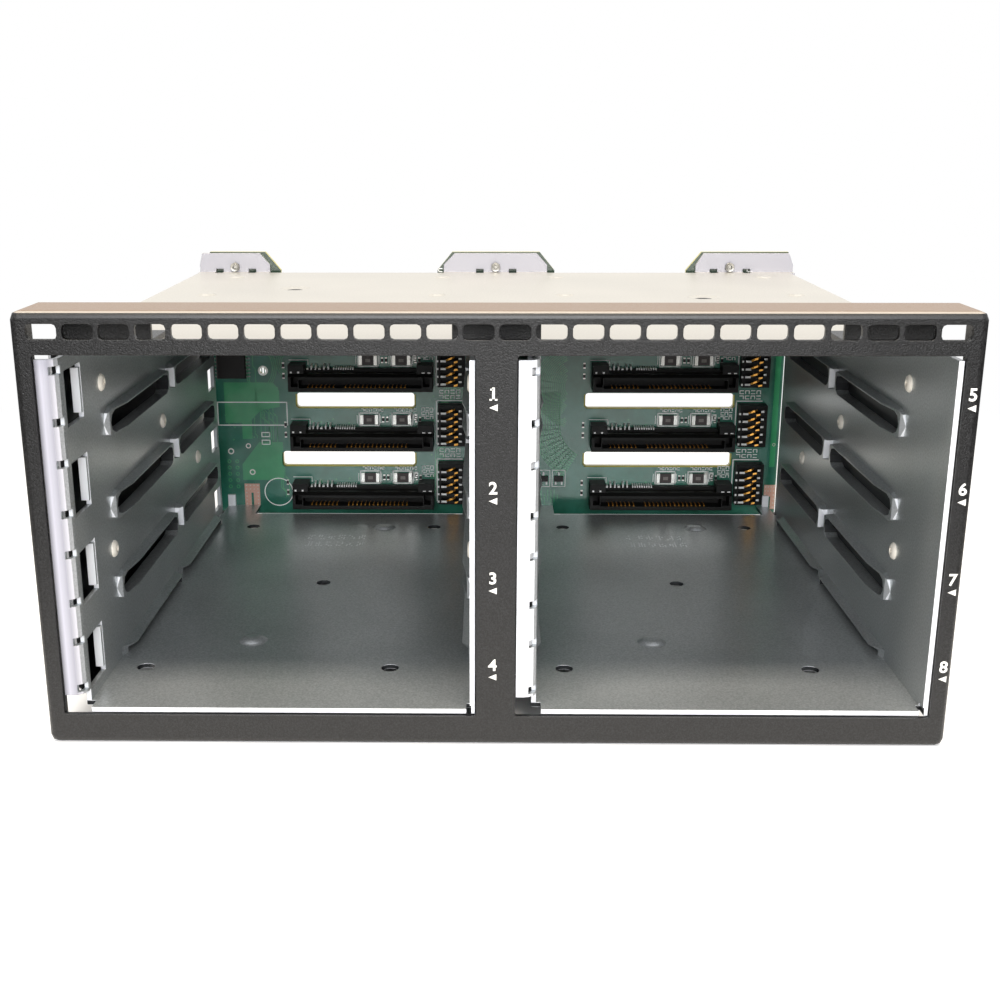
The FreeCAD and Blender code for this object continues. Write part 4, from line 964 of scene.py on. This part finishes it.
# ---------------------------------------------------------------- ports, headers and solder joints
# On the board's back: two stamped steel port cages, two black headers, and the rows of solder joints
# that the connectors' pins leave where they come through.
port_steel = zinc_plated_steel("tinned port steel", "#c9c8c2", "#b5b4ae", 0.25, 0.36)
dress(port_steel, "data_port_left", "data_port_right")
dress(black_nylon, "power_header", "signal_header")


LEAF_JOINT = ((0.42, 0), (0.3, 0.18), (0.16, 0.5), (0, 0.55))      # radius and height, in millimetres
SPRING_JOINT = ((0.5, 0), (0.34, 0.2), (0.18, 0.6), (0, 0.65))


def joint(bm, x, z, turn):
    turned(bm, (x, BACK, z), (0, 1, 0), [(r * MM, h * MM) for r, h in turn], 8)


def solder_joints(bm):
    """Two staggered rows behind each connector, and two columns behind each block."""
    for low, _ in CONNECTORS:
        for k, x in enumerate(leaf_places(low)):
            for z in (low.z + 2.0 * MM, low.z + 4.4 * MM):
                joint(bm, x + 0.27 * MM, z + (k % 2) * 0.9 * MM, LEAF_JOINT)
    for low, high in BLOCKS:
        pitch = (high.z - low.z) / BLOCK_PITCHES
        for way in range(5):
            for dx in (1.6, 6.4):
                joint(bm, low.x + dx * MM, low.z + (way + 0.7) * pitch, SPRING_JOINT)


solder = flat_finish("reflowed solder", "#c8c9c6", 0.25, 1.0, 0.5 * MM)
piece("back_solder_joints", solder_joints, solder)


# ---------------------------------------------------------------- board screws
# Nickel plated machine screws with pan heads, driven from the back into the shell's tabs.
screw_steel = flat_finish("nickel plated steel", "#96948f", 0.32, 0.9, 0.3 * MM)


def turn_screws(bm):
    """Screws with a thread of small rings, a hollow tip and a pan head with a round socket."""
    head = 1.7 * MM
    for low, high in loose_boxes("board_screws"):
        middle = (low + high) / 2
        start = Vector((middle.x, low.y, middle.z))
        length = high.y - low.y
        profile = [(0, 0.6 * MM), (0.45 * MM, 0.6 * MM), (0.6 * MM, 0), (0.8 * MM, 0), (0.85 * MM, 0.15 * MM)]
        along = 0.05 * MM
        while along < length - head - 0.3 * MM:
            profile += [(1.27 * MM, along), (1.05 * MM, along + 0.2 * MM)]
            along += 0.4 * MM
        profile += [(1.27 * MM, length - head), (2.55 * MM, length - head), (2.55 * MM, length - 1.0 * MM),
                    (2.3 * MM, length - 0.4 * MM), (1.7 * MM, length - 0.05 * MM), (1.2 * MM, length),
                    (0.55 * MM, length - 0.1 * MM), (0.35 * MM, length - 0.9 * MM), (0, length - 0.9 * MM)]
        turned(bm, start, (0, 1, 0), profile)


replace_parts(piece("turned_screws", turn_screws, screw_steel), "board_screws")


# ---------------------------------------------------------------- studio
# A white sweep, a large soft lamp above and in front of the cage, and a weaker one behind the camera.
# Seen by eye or in a shiny surface, the paper fades into plain white away from the cage.
FOOTPRINT = (88.0 * MM, 70.0 * MM)       # half the ground that the cage keeps dark
FADE_OUT = (130.0 * MM, 320.0 * MM)      # where paper becomes plain white, from the middle
SHINE_OUT = (105.0 * MM, 150.0 * MM)     # where that white fades in shiny surfaces, to the side
SWEEP_HALF = 3.0

floor, tree, place = new_finish("white paper sweep")
rays = add(tree, "ShaderNodeLightPath").outputs
paper = add(tree, "ShaderNodeTexNoise", {"Scale": 40.0})
matt = add(tree, "ShaderNodeBsdfDiffuse", {"Color": blend(tree, paper, linear("#f7f7f7"), linear("#ffffff"))})
footprint = add(tree, "ShaderNodeVectorMath", {0: place, 1: (1 / FOOTPRINT[0], 1 / FOOTPRINT[1], 0.0)},
                operation="MULTIPLY")
sides = split(tree, add(tree, "ShaderNodeVectorMath", {0: footprint}, operation="ABSOLUTE"))
outside = remap(tree, calc(tree, "MAXIMUM", sides["X"], sides["Y"]), 0.96, 1.06, 0.0, 0.25)
near = add(tree, "ShaderNodeAddShader", {0: matt, 1: add(tree, "ShaderNodeEmission", {"Strength": outside})})
to_side = calc(tree, "ABSOLUTE", split(tree, place)["X"])
white = blend(tree, rays["Is Glossy Ray"], (1.0, 1.0, 1.0, 1.0), remap(tree, to_side, *SHINE_OUT, 1.0, 0.0))
far = add(tree, "ShaderNodeEmission", {"Color": white, "Strength": 1.0})
reach = add(tree, "ShaderNodeVectorMath", {0: place}, operation="LENGTH").outputs["Value"]
seen = add(tree, "ShaderNodeMixShader", {"Fac": remap(tree, reach, *FADE_OUT), 1: near, 2: far})
looked_at = calc(tree, "MAXIMUM", rays["Is Camera Ray"], rays["Is Glossy Ray"])
close_finish(tree, add(tree, "ShaderNodeMixShader", {"Fac": looked_at, 1: matt, 2: seen}))
mesh = bpy.data.meshes.new("sweep")
mesh.from_pydata([(-SWEEP_HALF, -SWEEP_HALF, 0), (SWEEP_HALF, -SWEEP_HALF, 0), (SWEEP_HALF, SWEEP_HALF, 0),
                  (-SWEEP_HALF, SWEEP_HALF, 0)], [], [(0, 1, 2, 3)])
mesh.materials.append(floor)
sweep = bpy.data.objects.new("sweep", mesh)
bpy.context.scene.collection.objects.link(sweep)


def lamp(name, place, target, size, power, colour):
    """A rectangular soft lamp aimed at a point."""
    light = bpy.data.lights.new(name, "AREA")
    light.shape, light.size, light.size_y = "RECTANGLE", size[0], size[1]
    light.energy, light.color = power, linear(colour)[:3]
    thing = bpy.data.objects.new(name, light)
    thing.location = place
    thing.rotation_euler = (Vector(target) - Vector(place)).to_track_quat("-Z", "Y").to_euler()
    bpy.context.scene.collection.objects.link(thing)


lamp("overhead_softbox", (0.0, -0.32, 0.98), (0.0, -0.05, 0.05), (0.9, 0.16), 11.0, "#fff4e4")
lamp("front_softbox", (0.0, -1.3, 0.55), (0.0, 0.0, 0.05), (0.9, 0.6), 16.0, "#ffffff")

world = bpy.data.worlds.new("studio")
bpy.context.scene.world = world
world.use_nodes = True
tree = world.node_tree
tree.nodes.clear()
rays = add(tree, "ShaderNodeLightPath").outputs
shiny = calc(tree, "MAXIMUM", rays["Is Camera Ray"], rays["Is Glossy Ray"])
bright = calc(tree, "MAXIMUM", shiny, rays["Is Transmission Ray"])
sky = add(tree, "ShaderNodeBackground", {"Color": (1.0, 1.0, 1.0, 1.0),
                                         "Strength": remap(tree, bright, 0.0, 1.0, 0.45, 1.0)})
add(tree, "ShaderNodeOutputWorld", {"Surface": sky})

# The camera stands close in front of the cage, a little above it, and looks slightly down.
CAMERA_PLACE = (-1.79 * MM, -315.59 * MM, 119.42 * MM)
TURN, LOOK_DOWN, ROLL = 0.78, 16.08, -0.06      # in degrees
camera_data = bpy.data.cameras.new("camera")
camera_data.lens = 46.28
camera_data.sensor_width = 36.0
camera_data.shift_x = 0.030
camera_data.shift_y = 0.0005
camera_data.clip_start = 0.01
camera = bpy.data.objects.new("camera", camera_data)
camera.matrix_world = (Matrix.Translation(CAMERA_PLACE)
                       @ Matrix.Rotation(math.radians(TURN), 4, "Z")
                       @ Matrix.Rotation(math.radians(90 - LOOK_DOWN), 4, "X")
                       @ Matrix.Rotation(math.radians(ROLL), 4, "Z"))
bpy.context.scene.collection.objects.link(camera)
bpy.context.scene.camera = camera
bpy.context.scene.view_settings.view_transform = "Standard"

bpy.context.view_layer.update()
